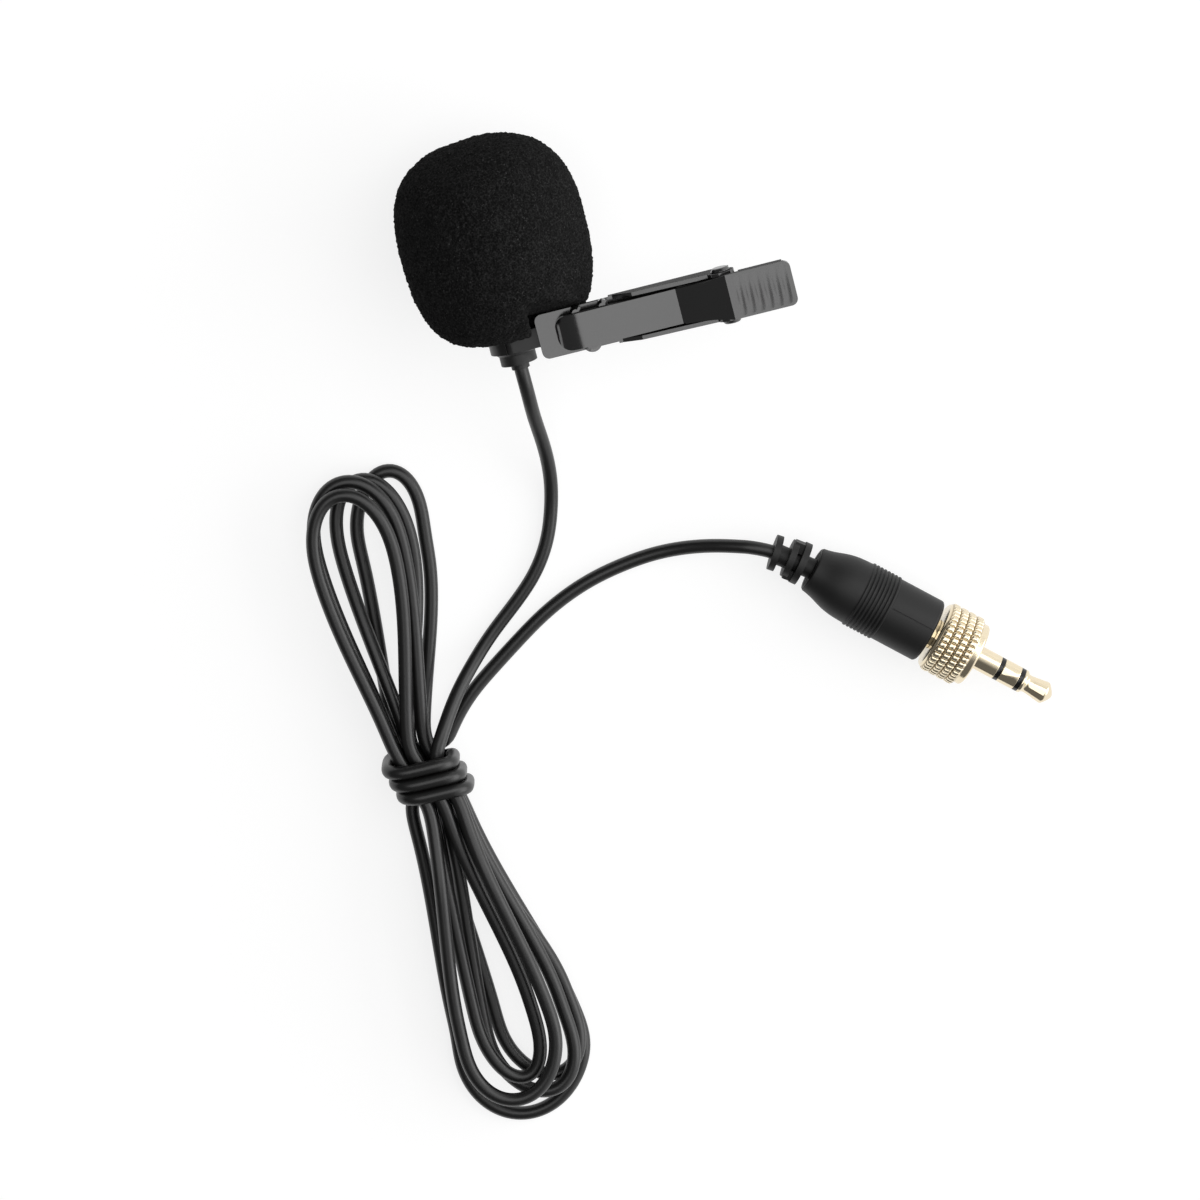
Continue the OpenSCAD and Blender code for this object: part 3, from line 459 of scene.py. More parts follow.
# %% [markdown]
# The cable's cover is a satin black elastomer. It picks up faint rubs along its length and
# its gloss varies a little, so a long run of it doesn't look like a computer's tube.

# %% Cable finish
def cable_finish():
    f = Finish("cable_cover_satin")
    cloud = f.grain(90.0, 3.0)
    skin = f.grain(2600.0, 3.0, 0.6)
    rub = f.grain(700.0, 4.0, 0.7).rise(0.6, 0.85)
    colour = f.blend(cloud, shade(0.004), shade(0.008))
    colour = f.blend(rub * 0.35, colour, shade(0.02))
    return f.surface(Base_Color=colour, Roughness=0.30 + cloud * 0.12 + rub * 0.12,
                     Specular_IOR_Level=0.6, Normal=f.relief(skin, 0.006))


CABLE = cable_finish()
print("made", CABLE.name)

# %% [markdown]
# The clip is stamped steel under stoved black enamel. The enamel is glossy, a little uneven
# like orange peel, and thinner on edges; its wear shows as faint lighter scratches.

# %% Enamel finish
def enamel_finish(name, rough, level):
    f = Finish(name)
    peel = f.grain(420.0, 2.0, 0.4)
    haze = f.grain(150.0, 3.0, 0.6)
    scratch = f.grain(1.0, 3.0, 0.6, f.stretched(260, 2600, 2600)).rise(0.66, 0.78)
    colour = f.blend(haze, shade(0.006), shade(0.010))
    colour = f.blend(scratch * 0.3, colour, shade(0.035))
    return f.surface(Base_Color=colour, Roughness=rough + haze * 0.06 + scratch * 0.15,
                     IOR=1.6, Specular_IOR_Level=level, Normal=f.relief(peel, 0.006))


ENAMEL = enamel_finish("black_enamel", 0.13, 1.0)
FLANK_ENAMEL = enamel_finish("black_enamel_flank", 0.48, 0.08)
print("made", ENAMEL.name, FLANK_ENAMEL.name)

# %% [markdown]
# The plug's sleeve and its strain relief are moulded in one shot of soft black plastic, matt
# from a spark-eroded mould. The mould's two halves leave a fine parting line on the front
# half, between the ribs and the lock ring. The line lies in a plane through the plug's axis,
# so it shows where the distance from that plane is next to nothing.

# %% Plug finish
PLUG_ORIGIN = Vector((14.65, -52.3, 5.3)) * MM
PLUG_TURN = math.radians(-42.7)
PLUG_X = Vector((math.cos(PLUG_TURN), math.sin(PLUG_TURN), 0))
PLUG_Y = Vector((-math.sin(PLUG_TURN), math.cos(PLUG_TURN), 0))
PLUG_FRAME = Matrix.Translation(PLUG_ORIGIN) @ Matrix.Rotation(PLUG_TURN, 4, "Z")
PARTING_TILT = math.radians(76)


def from_plug(f):
    """The offset from the plug's rear end, and how much of it lies along the plug."""
    offset = f.vector("SUBTRACT", f.place, tuple(PLUG_ORIGIN))
    return offset, f.vector("DOT_PRODUCT", offset, tuple(PLUG_X))


def plug_finish():
    f = Finish("moulded_soft_black")
    offset, along = from_plug(f)
    across = PLUG_Y * -math.sin(PARTING_TILT) + Vector((0, 0, math.cos(PARTING_TILT)))
    from_plane = f.vector("DOT_PRODUCT", offset, tuple(across)).size()
    line = (1 - from_plane.rise(0.00003, 0.00010)) * along.rise(0.0183, 0.0186)
    grain = f.grain(3000.0, 3.0, 0.6)
    cloud = f.grain(160.0, 3.0)
    colour = f.blend(cloud, shade(0.006), shade(0.010))
    colour = f.blend(line * 0.8, colour, shade(0.003))
    return f.surface(Base_Color=colour, Roughness=0.44 + grain * 0.14, Specular_IOR_Level=0.4,
                     Normal=f.relief(grain * 0.08 - line, 0.06))


PLUG_BLACK = plug_finish()
print("made", PLUG_BLACK.name)

# %% [markdown]
# The contacts are brass with a thin pale gold plating. Plugging in leaves fine rings round
# them, so the roughness has a pattern that runs round the plug's axis: noise that is long
# across the axis and short along it. The lock ring has the same plating over knurling, and
# its hollows near the ring's root are painted dark brown as painted shade, and made a little
# rougher.

# %% Gold finish
def gold_finish(name, rough, hollow=None):
    f = Finish(name)
    offset, along = from_plug(f)
    rings = f.rings(along, 9000.0, 0.6)
    cloud = f.grain(420.0, 3.0)
    colour = f.blend(cloud, (0.83, 0.71, 0.50), (0.89, 0.79, 0.60))
    roughness = rough + rings * 0.06 + cloud * 0.05
    if hollow:
        off_axis = f.vector("SUBTRACT", offset, f.node("ShaderNodeCombineXYZ", None, {
            "X": along * PLUG_X.x, "Y": along * PLUG_X.y, "Z": 0.0})["Vector"])
        knurled = along.rise(0.0264, 0.0267) * (1 - along.rise(0.0316, 0.0317))
        # painted shade: dark brown in the knurl's hollows near the ring's root
        hollow_shade = (1 - f.vector("LENGTH", off_axis).rise(*hollow)) * knurled
        colour = f.blend(hollow_shade * 0.75, colour, (0.24, 0.16, 0.07))
        roughness = roughness + hollow_shade * 0.25
    return f.surface(Base_Color=colour, Metallic=1.0, Roughness=roughness,
                     Normal=f.relief(rings, 0.002))


GOLD = gold_finish("pale_gold_polished", 0.06)
KNURL_GOLD = gold_finish("pale_gold_knurled", 0.11, (0.00500, 0.00513))
print("made", GOLD.name, KNURL_GOLD.name)

# %% [markdown]
# Turned metal keeps the marks of the tool that cut it: fine rings that change only along the
# part's axis. One finish with a colour, a roughness and an axis serves the blackened housing,
# the steel cap, the capsule's aluminium can, the spring wire and the gold washer.

# %% Metals inside and out
def turned_metal(name, colour, rough, metallic, axis=(0, 1, 0), depth=0.003):
    f = Finish(name)
    rings = f.rings(f.vector("DOT_PRODUCT", f.place, axis), 7000.0, 0.7)
    cloud = f.grain(300.0, 3.0)
    darker = tuple(c * 0.75 for c in colour)
    return f.surface(Base_Color=f.blend(cloud, darker, colour), Metallic=metallic,
                     Roughness=rough + rings * 0.14 + cloud * 0.06,
                     Normal=f.relief(rings, depth))


BLACK_METAL = turned_metal("black_oxide", shade(0.010), 0.26, 0.0)
STEEL = turned_metal("satin_steel", shade(0.34), 0.28, 1.0)
CAN = turned_metal("drawn_aluminium", shade(0.75), 0.24, 1.0)
SPRING = turned_metal("spring_wire", shade(0.42), 0.2, 1.0, (0.6, 0.2, 0.77))
WASHER_GOLD = turned_metal("gold_washer", (0.8, 0.66, 0.4), 0.2, 1.0, tuple(PLUG_X))
print("metals:", [m.name for m in (BLACK_METAL, STEEL, CAN, SPRING, WASHER_GOLD)])

# %% [markdown]
# The remaining finishes are small variations: soft rubber, woven dust cloth, a circuit board
# with its pads, the enamelled cores of the cable and two hard plastics. Most sit inside, but
# they show when the windscreen is pulled off or the model is cut open. The weave is a product
# of two waves, and a pad shows where the distance from its middle is small.

# %% Rubber, cloth, board and plastics
HEAD = Vector((HEAD_X, HEAD_Y, HEAD_Z)) * MM
THREAD = 0.12 * MM
PAD_AWAY = 0.6 * MM


def soft_finish(name, colour, rough, grain_scale, depth):
    f = Finish(name)
    cloud, grain = f.grain(180.0, 3.0), f.grain(grain_scale, 3.0, 0.65)
    lighter = tuple(min(1, c * 1.5) for c in colour)
    return f.surface(Base_Color=f.blend(cloud, colour, lighter),
                     Roughness=rough + grain * 0.15, Specular_IOR_Level=0.5,
                     Normal=f.relief(grain, depth))


def cloth_finish():
    f = Finish("dust_cloth_weave")
    apart = f.node("ShaderNodeSeparateXYZ", None, {"Vector": f.place})
    threads = 2 * math.pi / THREAD
    weave = ((apart["X"] * threads).sine() * (apart["Z"] * threads).sine()).size()
    colour = f.blend(weave, shade(0.10), shade(0.24, 0.05))
    return f.surface(Base_Color=colour, Roughness=0.9, Normal=f.relief(weave, 0.02))


def board_finish():
    f = Finish("board_with_pads")
    offset = f.vector("SUBTRACT", f.place, tuple(HEAD))
    apart = f.node("ShaderNodeSeparateXYZ", None, {"Vector": offset})
    side = apart["X"].size() - PAD_AWAY
    from_pad = (side * side + apart["Z"] * apart["Z"]) ** 0.5
    pad = 1 - from_pad.rise(0.00050, 0.00056)
    cloud = f.grain(900.0, 2.0)
    colour = f.blend(cloud, (0.018, 0.10, 0.035), (0.03, 0.15, 0.06))
    colour = f.blend(pad, colour, (0.72, 0.70, 0.66))
    return f.surface(Base_Color=colour, Metallic=pad, Roughness=0.38 - pad * 0.1,
                     Normal=f.relief(cloud, 0.01))


def wire_finish():
    f = Finish("core_covers")
    side = f.node("ShaderNodeSeparateXYZ", None, {"Vector": f.place})["X"].over(HEAD.x)
    cloud = f.grain(700.0, 2.0)
    colour = f.blend(side, (0.42, 0.03, 0.02), (0.55, 0.53, 0.5))
    return f.surface(Base_Color=f.blend(cloud * 0.3, colour, shade(0.2)), Roughness=0.4,
                     Normal=f.relief(cloud, 0.01))


RUBBER = soft_finish("soft_black_rubber", shade(0.007), 0.40, 2400.0, 0.012)
CORE_PLASTIC = soft_finish("inner_moulding", (0.5, 0.5, 0.46), 0.45, 1500.0, 0.01)
INSULATOR = soft_finish("gloss_black_band", shade(0.004), 0.10, 900.0, 0.001)
CLOTH, BOARD, WIRES = cloth_finish(), board_finish(), wire_finish()
print("soft finishes:", [m.name for m in (RUBBER, CORE_PLASTIC, INSULATOR, CLOTH, BOARD, WIRES)])

# %% [markdown]
# Eight solids, nearly all of them inside, already have the right shape. They keep their mesh
# and only get a finish; every other solid is shown by a piece that is made below.

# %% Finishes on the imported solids
FINISHES = {
    "dust_cloth": CLOTH, "capsule_can": CAN, "capsule_gasket": RUBBER, "capsule_board": BOARD,
    "core_wires": WIRES, "plug_core": CORE_PLASTIC, "plug_wires": WIRES,
    "lock_retainer": WASHER_GOLD,
}
for name, finish in FINISHES.items():
    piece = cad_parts[name]
    piece.data.materials.clear()
    piece.data.materials.append(finish)
    piece.material_slots[0].material = finish
print("finished solids:", len(FINISHES), "of", len(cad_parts))

# %% [markdown]
# A geometry tree is built once and used on several base meshes. This helper puts a tree on a
# base, turns the result into a plain mesh and drops the modifier. An input is set by its
# socket's identifier and before the first evaluation; Blender wouldn't find it by its name.

# %% Geometry tree helpers
def geometry_tree(name, inputs):
    tree = bpy.data.node_groups.new(name, "GeometryNodeTree")
    tree.interface.new_socket("Geometry", in_out="INPUT", socket_type="NodeSocketGeometry")
    for label, kind in inputs.items():
        tree.interface.new_socket(label, in_out="INPUT", socket_type="NodeSocket" + kind)
    tree.interface.new_socket("Geometry", in_out="OUTPUT", socket_type="NodeSocketGeometry")
    graph = Graph(tree)
    return graph, graph.node("NodeGroupInput")


def finish_tree(graph, geometry, finish):
    plain = graph.node("GeometryNodeRealizeInstances", None, {"Geometry": geometry})[0]
    painted = graph.node("GeometryNodeSetMaterial", None, {"Geometry": plain, "Material": finish})
    graph.node("NodeGroupOutput", None, {0: painted[0]})
    return graph.tree


def new_piece(name, mesh, finish=None, sharp=35):
    mesh.name = name
    if finish:
        mesh.materials.clear()
        mesh.materials.append(finish)
    if sharp:
        mesh.shade_smooth()
        mesh.set_sharp_from_angle(angle=math.radians(sharp))
    return linked(name, mesh)


def as_plain_mesh(holder):
    """The object's mesh with its modifiers worked in; the object itself goes."""
    seen = holder.evaluated_get(bpy.context.evaluated_depsgraph_get())
    mesh = bpy.data.meshes.new_from_object(seen)
    bpy.data.objects.remove(holder)
    return mesh


def grow(name, base, tree, values, sharp=35):
    """Runs a geometry tree on a base mesh and returns the result as a plain piece."""
    holder = linked(name + "_base", base)
    modifier = holder.modifiers.new("tree", "NODES")
    modifier.node_group = tree
    for item in tree.interface.items_tree:
        if item.in_out == "INPUT" and item.name in values:
            modifier[item.identifier] = values[item.name]
    return new_piece(name, as_plain_mesh(holder), None, sharp)


def mesh_of(name, points, faces, edges=()):
    mesh = bpy.data.meshes.new(name)
    mesh.from_pydata([tuple(p) for p in points], edges, faces)
    return mesh


def line_mesh(points):
    return mesh_of("line", points, [], [(i, i + 1) for i in range(len(points) - 1)])


print("geometry helpers ready")

# %% [markdown]
# The cable is a round profile carried along the route. A tube drawn along a path is what
# Curve to Mesh does, so one tree with a named diameter serves the cable and the spring.

# %% Cable
def tube_tree(finish):
    graph, given = geometry_tree("tube_along_" + finish.name,
                                 {"Diameter": "Float", "Sides": "Int"})
    curve = graph.node("GeometryNodeMeshToCurve", None, {"Mesh": given["Geometry"]})["Curve"]
    ring = graph.node("GeometryNodeCurvePrimitiveCircle", None, {
        "Resolution": given["Sides"], "Radius": given["Diameter"] * 0.5})["Curve"]
    tube = graph.node("GeometryNodeCurveToMesh", None, {
        "Curve": curve, "Profile Curve": ring, "Fill Caps": True})["Mesh"]
    return finish_tree(graph, tube, finish)


cable = grow("cable", line_mesh(cable_path * MM), tube_tree(CABLE),
             {"Diameter": CABLE_D * MM, "Sides": 18})
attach(cable, "microphone")
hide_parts("cable_mic_lead", "cable_hank", "cable_wrap", "cable_plug_lead")
print("cable: %d faces" % len(cable.data.polygons))

# %% [markdown]
# Some pieces start from their solid. Its mesh is a loose heap of triangles, so a copy has its
# doubles merged before any modifier works on it, and the solid itself is left alone.

# %% Copies of solids
def clean_copy(node):
    """The node's mesh with its loose triangles joined up."""
    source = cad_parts[node].data
    mesh = mesh_of(node + "_copy", [v.co for v in source.vertices],
                   [tuple(p.vertices) for p in source.polygons])
    work = bmesh.new()
    work.from_mesh(mesh)
    bmesh.ops.remove_doubles(work, verts=work.verts, dist=2e-7)
    bmesh.ops.dissolve_degenerate(work, edges=work.edges, dist=1e-7)
    work.to_mesh(mesh)
    work.free()
    return mesh


def with_modifiers(name, mesh, finish, modifiers, sharp=35):
    """Applies modifiers, given as (kind, settings), and returns a plain piece."""
    mesh.shade_smooth()
    holder = linked(name + "_base", mesh)
    for kind, settings in modifiers:
        modifier = holder.modifiers.new(kind.lower(), kind)
        for key, value in settings.items():
            setattr(modifier, key, value)
    return new_piece(name, as_plain_mesh(holder), finish, sharp)


print("copy helpers ready")

# %% [markdown]
# The windscreen is a barrel of open-cell foam, moulded or ground to shape, with a blind hole.
# Foam has no sharp edges, so the copy is cut into an even skin of small cells, relaxed where
# the clip presses it, and roughened along its normals by a fixed noise, which is what makes
# the outline look soft. It is pulled in a little first, so that the roughened skin stays inside
# the solid's size. A foam that is pushed on by hand sits a little askew: its skin leans to one
# side and its closed end sags a little there, while the bore stays on the tube.

# %% Windscreen
def roughened(mesh, pull_in, steps):
    """Moves each point along its normal by noises of (grain in mm, height in mm)."""
    count = len(mesh.vertices)
    places, normals = np.zeros(count * 3), np.zeros(count * 3)
    mesh.vertices.foreach_get("co", places)
    mesh.vertices.foreach_get("normal", normals)
    places, normals = places.reshape(-1, 3), normals.reshape(-1, 3)
    height = np.full(count, -pull_in * MM)
    for number, (grain, depth) in enumerate(steps):
        shift = Vector((3.1, 7.7, 1.9)) * (number + 1)
        height += depth * MM * np.array([
            noise.noise(Vector(p) / (grain * MM) + shift) for p in places])
    mesh.vertices.foreach_set("co", (places + normals * height[:, None]).ravel())
    mesh.update()


BORE_R, SKIN_DEPTH = 3.8, 5
LEAN, LEAN_SLOPE = 0.66, 0.008
PUSH, PUSH_SLOPE = 0.22, 0.014
SAG, SAG_X, SAG_WIDTH, SAG_START, SAG_RUN = 0.6, -16, 5.5, 9, 6


def leaning(mesh):
    """Leans the skin and lets its closed end sag at one side; the bore stays in place."""
    for vertex in mesh.vertices:
        x, y, z = (c / MM for c in vertex.co)
        share = eased((math.hypot(x - HEAD_X, z - HEAD_Z) - BORE_R) / SKIN_DEPTH)
        sag = SAG * math.exp(-((x - SAG_X) / SAG_WIDTH) ** 2) * eased((y - SAG_START) / SAG_RUN)
        vertex.co.x += share * (LEAN + LEAN_SLOPE * (y + 12)) * MM
        vertex.co.y -= (share * (PUSH + PUSH_SLOPE * (x - HEAD_X)) + sag) * MM


foam = with_modifiers("foam_windscreen", clean_copy("windscreen"), FOAM, [
    ("REMESH", {"mode": "VOXEL", "voxel_size": 0.26 * MM}),
    ("SMOOTH", {"factor": 0.6, "iterations": 9}),
], sharp=180)
leaning(foam.data)
roughened(foam.data, 0.16, [(3.0, 0.05), (0.7, 0.08), (0.4, 0.24)])
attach(foam, "windscreen")
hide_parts("windscreen")
print("foam: %d faces" % len(foam.data.polygons))

# %% [markdown]
# Stamped sheet metal has small rounded edges, and each catches a thin line of light. The
# solids have sharp ones. A merged copy with its flat faces joined takes a bevel of 0.06 to
# 0.3 mm on every real edge, and keeps its size. The front of the clip is drawn a little
# nearer to the pin than in the solids, and the sheared flanks of the two jaws get the duller
# coat, which is a second material on the same mesh.

# %% Rounded copies
FRONT_SHIFT = 0.85
# the two places along x between which the shift sets in
FRONT_STARTS = {"clip_base": (-31, -30), "clip_lever": (-31, -30), "ring_rivet": (-31, -30),
                "holder_ring": (-9.4, -8)}


def closer_front(mesh, start):
    """Draws the front of the clip towards the pin; the shift has faded out at the pin."""
    for vertex in mesh.vertices:
        share = np.interp(vertex.co.x / MM, [*start, -3.9, 9.9, 15.5], [0, 1, 1, 0.7, 0])
        vertex.co.x += FRONT_SHIFT * MM * share


def rounded_copy(node, name, finish, width, body, cut=(), first=()):
    """A copy with bevelled edges; cut holds planes to cut it by, first the first modifiers."""
    mesh = clean_copy(node)
    if node in FRONT_STARTS:
        closer_front(mesh, FRONT_STARTS[node])
    work = bmesh.new()
    work.from_mesh(mesh)
    for point, direction in cut:
        everything = work.verts[:] + work.edges[:] + work.faces[:]
        bmesh.ops.bisect_plane(work, geom=everything, dist=1e-7, plane_co=Vector(point),
                               plane_no=Vector(direction), clear_outer=True)
        bmesh.ops.holes_fill(work, edges=[e for e in work.edges if e.is_boundary], sides=0)
    bmesh.ops.dissolve_limit(work, angle_limit=math.radians(1.0), verts=work.verts,
                             edges=work.edges)
    bmesh.ops.recalc_face_normals(work, faces=work.faces)
    work.to_mesh(mesh)
    work.free()
    piece = with_modifiers(name, mesh, finish, [
        *first,
        ("BEVEL", {"width": width * MM, "segments": 3, "limit_method": "ANGLE",
                   "angle_limit": math.radians(15), "use_clamp_overlap": True,
                   "miter_outer": "MITER_ARC", "harden_normals": True}),
        ("TRIANGULATE", {"keep_custom_normals": True}),
    ], sharp=None)
    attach(piece, body)
    return piece


def matt_flanks(piece):
    """Gives the sheared sides of a stamping their thinner, duller coat."""
    piece.data.materials.append(FLANK_ENAMEL)
    for face in piece.data.polygons:
        if abs(face.normal.y) > 0.97:
            face.material_index = 1


ROUNDED = [
    ("mic_housing", "housing_tube", BLACK_METAL, 0.06, "microphone", "black_metal"),
    ("cable_boot", "boot", RUBBER, 0.22, "microphone", "black_rubber"),
    ("holder_ring", "ring_band", BLACK_METAL, 0.10, "clip", "black_metal"),
    ("ring_rivet", "rivet", BLACK_METAL, 0.14, "clip", "black_metal"),
    ("clip_base", "lower_jaw", ENAMEL, 0.16, "clip", "clip_paint"),
    ("pivot_pin", "hinge_pin", ENAMEL, 0.16, "clip", "clip_paint"),
]
for node, name, finish, width, body, slot in ROUNDED:
    piece = rounded_copy(node, name, finish, width, body)
    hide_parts(node)
    if name == "lower_jaw":
        matt_flanks(piece)
    print("%s: %d faces" % (name, len(piece.data.polygons)))

# %% [markdown]
# The upper jaw is pressed from one strip: a tongue with rounded corners at the nose, a neck,
# and a thumb grip. The solid's grip has narrow bars on top, so they are cut off the copy at
# the grip's own height, and a block with rounded corners trims the nose.

# %% Upper jaw
GRIP_TOP = 23.83
NOSE_X, JAW_HALF, TONGUE_R = -7.15, 2.5, 1.9
CUTTER_END_X, CUTTER_HALF, CUTTER_Z = 40, 12, (10, 30)


def outward(mesh):
    """Turns every face of a closed mesh outwards."""
    work = bmesh.new()
    work.from_mesh(mesh)
    bmesh.ops.recalc_face_normals(work, faces=work.faces)
    work.to_mesh(mesh)
    work.free()
    return mesh


def tongue_cutter():
    """A block whose left end has the tongue's rounded corners; it clears everything else."""
    x = NOSE_X + TONGUE_R
    arc = [(x - TONGUE_R * math.sin(math.radians(a)),
            (JAW_HALF - TONGUE_R) + TONGUE_R * math.cos(math.radians(a)))
           for a in range(0, 91, 10)]
    arc[-1] = (NOSE_X - 0.01, arc[-1][1])
    upper = [(CUTTER_END_X, CUTTER_HALF), (x, CUTTER_HALF)] + arc
    outline = upper + [(px, -py) for px, py in upper[::-1]]
    points = [Vector((px, py + CLIP_Y, z)) * MM for z in CUTTER_Z for px, py in outline]
    n = len(outline)
    faces = [tuple(range(n)), tuple(range(2 * n - 1, n - 1, -1))]
    faces += [(i, n + i, n + (i + 1) % n, (i + 1) % n) for i in range(n)]
    return linked("tongue_cutter", outward(mesh_of("tongue_cutter", points, faces)))


cutter = tongue_cutter()
upper_jaw = rounded_copy("clip_lever", "upper_jaw", ENAMEL, 0.3, "lever",
                         cut=[((0, 0, (GRIP_TOP - 0.004) * MM), (0, 0, 1))],
                         first=[("BOOLEAN", {"operation": "INTERSECT", "object": cutter,
                                             "solver": "EXACT"})])
bpy.data.objects.remove(cutter)
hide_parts("clip_lever")
matt_flanks(upper_jaw)
print("upper jaw: %d faces" % len(upper_jaw.data.polygons))

# %% [markdown]
# The waves across the grip are one closed ridge and a tree that repeats it at an even pitch.
# The ridge is a tile whose top follows a rule. The same tile, with another rule, makes the
# knurling further down, so the helper takes the rule as a function of two numbers that go
# from -1 to 1 across the tile.

# %% Grip waves
def domed_mesh(name, cells_x, cells_y, size, foot, lift):
    """A closed tile with a flat underside; lift(u, v) is the height of its top."""
    step = cells_y + 1
    places = [(2 * i / cells_x - 1, 2 * j / cells_y - 1)
              for i in range(cells_x + 1) for j in range(cells_y + 1)]
    points = [(u * size[0] / 2, v * size[1] / 2, lift(u, v)) for u, v in places]
    corners = [i * step + j for i in range(cells_x) for j in range(cells_y)]
    faces = [(k, k + step, k + step + 1, k + 1) for k in corners]
    rim = (list(range(step)) + [i * step + cells_y for i in range(1, cells_x + 1)]
           + [cells_x * step + j for j in range(cells_y - 1, -1, -1)]
           + [i * step for i in range(cells_x - 1, 0, -1)])
    below = len(points)
    points += [(points[k][0], points[k][1], -foot) for k in rim]
    for i, k in enumerate(rim):
        after = (i + 1) % len(rim)
        faces.append((k, rim[after], below + after, below + i))
    faces.append(tuple(range(below, below + len(rim))))
    return outward(mesh_of(name, points, faces))


def wave_top(u, v):
    """A round ridge across u that fades out towards both ends of v."""
    return 0.065 * MM * (0.5 + 0.5 * math.cos(math.pi * u)) * (1 - v * v)


def row_tree(name, finish):
    """Repeats the base mesh along x."""
    graph, given = geometry_tree(name, {"Copies": "Int", "Pitch": "Float"})
    row = graph.node("GeometryNodeMeshLine", None, {"Count": given["Copies"]})["Mesh"]
    step = graph.node("ShaderNodeCombineXYZ", None, {"X": given["Pitch"]})["Vector"]
    graph.tree.links.new(step.socket, row.socket.node.inputs["Offset"])
    copies = graph.node("GeometryNodeInstanceOnPoints", None,
                        {"Points": row, "Instance": given["Geometry"]})["Instances"]
    return finish_tree(graph, copies, finish)


WAVE_PITCH, WAVE_LENGTH = 1.3, 5.9
FIRST_WAVE_X = 19.15
wave = domed_mesh("wave", 12, 14, (WAVE_PITCH * MM, WAVE_LENGTH * MM), 0.05 * MM, wave_top)
waves = grow("grip_waves", wave, row_tree("waves_in_a_row", ENAMEL),
             {"Copies": 6, "Pitch": WAVE_PITCH * MM}, sharp=60)
waves.data.transform(Matrix.Translation(Vector((FIRST_WAVE_X, CLIP_Y, GRIP_TOP - 0.008)) * MM))
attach(waves, "lever")
print("waves: %d faces" % len(waves.data.polygons))

# %% [markdown]
# The spring is wound round the hinge pin, with one leg on the plate and one under the grip. A
# real one winds up a little as the jaws open, so it is drawn as two pieces that meet inside the
# coil: the lower leg and the turns stay with the clip, and the upper leg turns with the lever.
# The upper leg's wire starts 40 degrees back along the last turn, so no gap opens.

# %% Spring
PIVOT = np.array((17.2, CLIP_Y, 20.53))
WIRE_D = 0.6
COIL_R = 1.3
COIL_PITCH = 0.66
EIGHTHS = 36
LEG_BEND_X, LEG_END_X = 3.3, 5.5
PLATE_LEG_Z, GRIP_LEG_Z = -2.38, 2.18


def coil_points(first, last):
    """The turns' centre line between two counts of eighths of a turn."""
    turn = np.linspace(first, last, int(abs(last - first) * 6) + 1)
    around = np.radians(-90 - 45 * turn)
    return np.stack([COIL_R * np.cos(around), COIL_PITCH * (turn - EIGHTHS / 2) / 8,
                     COIL_R * np.sin(around)], axis=1)


def spring_leg(side, height):
    """A leg from the coil out along the clip, with a rounded bend on its way."""
    y = side * COIL_PITCH * EIGHTHS / 16
    start = np.array((0.0, y, np.sign(height) * COIL_R))
    bend, end = np.array((LEG_BEND_X, y, height)), np.array((LEG_END_X, y, height))
    before, after = bend + (start - bend) * 0.18, bend + (end - bend) * 0.2
    return np.vstack([np.linspace(start, before, 6)[1:],
                      [0.25 * before + 0.5 * bend + 0.25 * after],
                      np.linspace(after, end, 4)])


spring_tree = tube_tree(SPRING)
clip_wire = np.vstack([spring_leg(-1, PLATE_LEG_Z)[::-1], coil_points(0, EIGHTHS)])
lever_wire = np.vstack([coil_points(EIGHTHS - 0.9, EIGHTHS), spring_leg(1, GRIP_LEG_Z)])
turns = grow("spring_coil", line_mesh((PIVOT + clip_wire) * MM), spring_tree,
             {"Diameter": WIRE_D * MM, "Sides": 12})
upper_leg = grow("spring_leg", line_mesh((PIVOT + lever_wire) * MM), spring_tree,
                 {"Diameter": (WIRE_D - 0.02) * MM, "Sides": 12})
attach(turns, "clip")
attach(upper_leg, "lever")
for piece in (turns, upper_leg):
    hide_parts("torsion_spring")
print("spring: %.1f turns, coil %d faces, leg %d faces"
      % (EIGHTHS / 8, len(turns.data.polygons), len(upper_leg.data.polygons)))

# %% [markdown]
# A turned part is a profile spun round an axis. The Screw modifier does the same, but its
# points on the axis have to be merged afterwards, so the mesh is written here point by point.
# The helper takes the profile as (distance along the axis, radius) in millimetres, rounds its
# corners a little, and closes it to itself, so a tube comes out with its bore.

# %% Turned pieces
def eased_corners(outline, radius, flat_angle=12):
    """Replaces each corner of a closed outline with a short arc."""
    points, count = [], len(outline)
    for i in range(count):
        before, here, after = (np.array(outline[(i + k) % count], float) for k in (-1, 0, 1))
        a, b = before - here, after - here
        la, lb = np.linalg.norm(a), np.linalg.norm(b)
        bend = math.degrees(math.acos(np.clip(-(a @ b) / (la * lb), -1, 1)))
        if bend < flat_angle or here[1] < 1e-6:
            points.append(tuple(here))
            continue
        cut = min(radius, 0.4 * la, 0.4 * lb)
        start, end = here + a / la * cut, here + b / lb * cut
        for t in (0, 0.33, 0.67, 1):
            points.append(tuple((1 - t) ** 2 * start + 2 * t * (1 - t) * here + t * t * end))
    return points


def spun_mesh(outline, turns=96):
    """The closed outline (along, radius) spun round x; a point on the axis is shared."""
    points, faces, rings = [], [], []
    for x, r in outline:
        first = len(points)
        if r < 1e-6:
            rings.append([first])
            points.append((x * MM, 0, 0))
            continue
        rings.append(list(range(first, first + turns)))
        for k in range(turns):
            a = 2 * math.pi * k / turns
            points.append((x * MM, r * MM * math.cos(a), r * MM * math.sin(a)))
    for ring, after in zip(rings, rings[1:] + rings[:1]):
        for k in range(turns):
            quad = [ring[k % len(ring)], ring[(k + 1) % len(ring)],
                    after[(k + 1) % len(after)], after[k % len(after)]]
            unique = list(dict.fromkeys(quad))
            if len(unique) > 2:
                faces.append(unique)
    return outward(mesh_of("spun", points, faces))


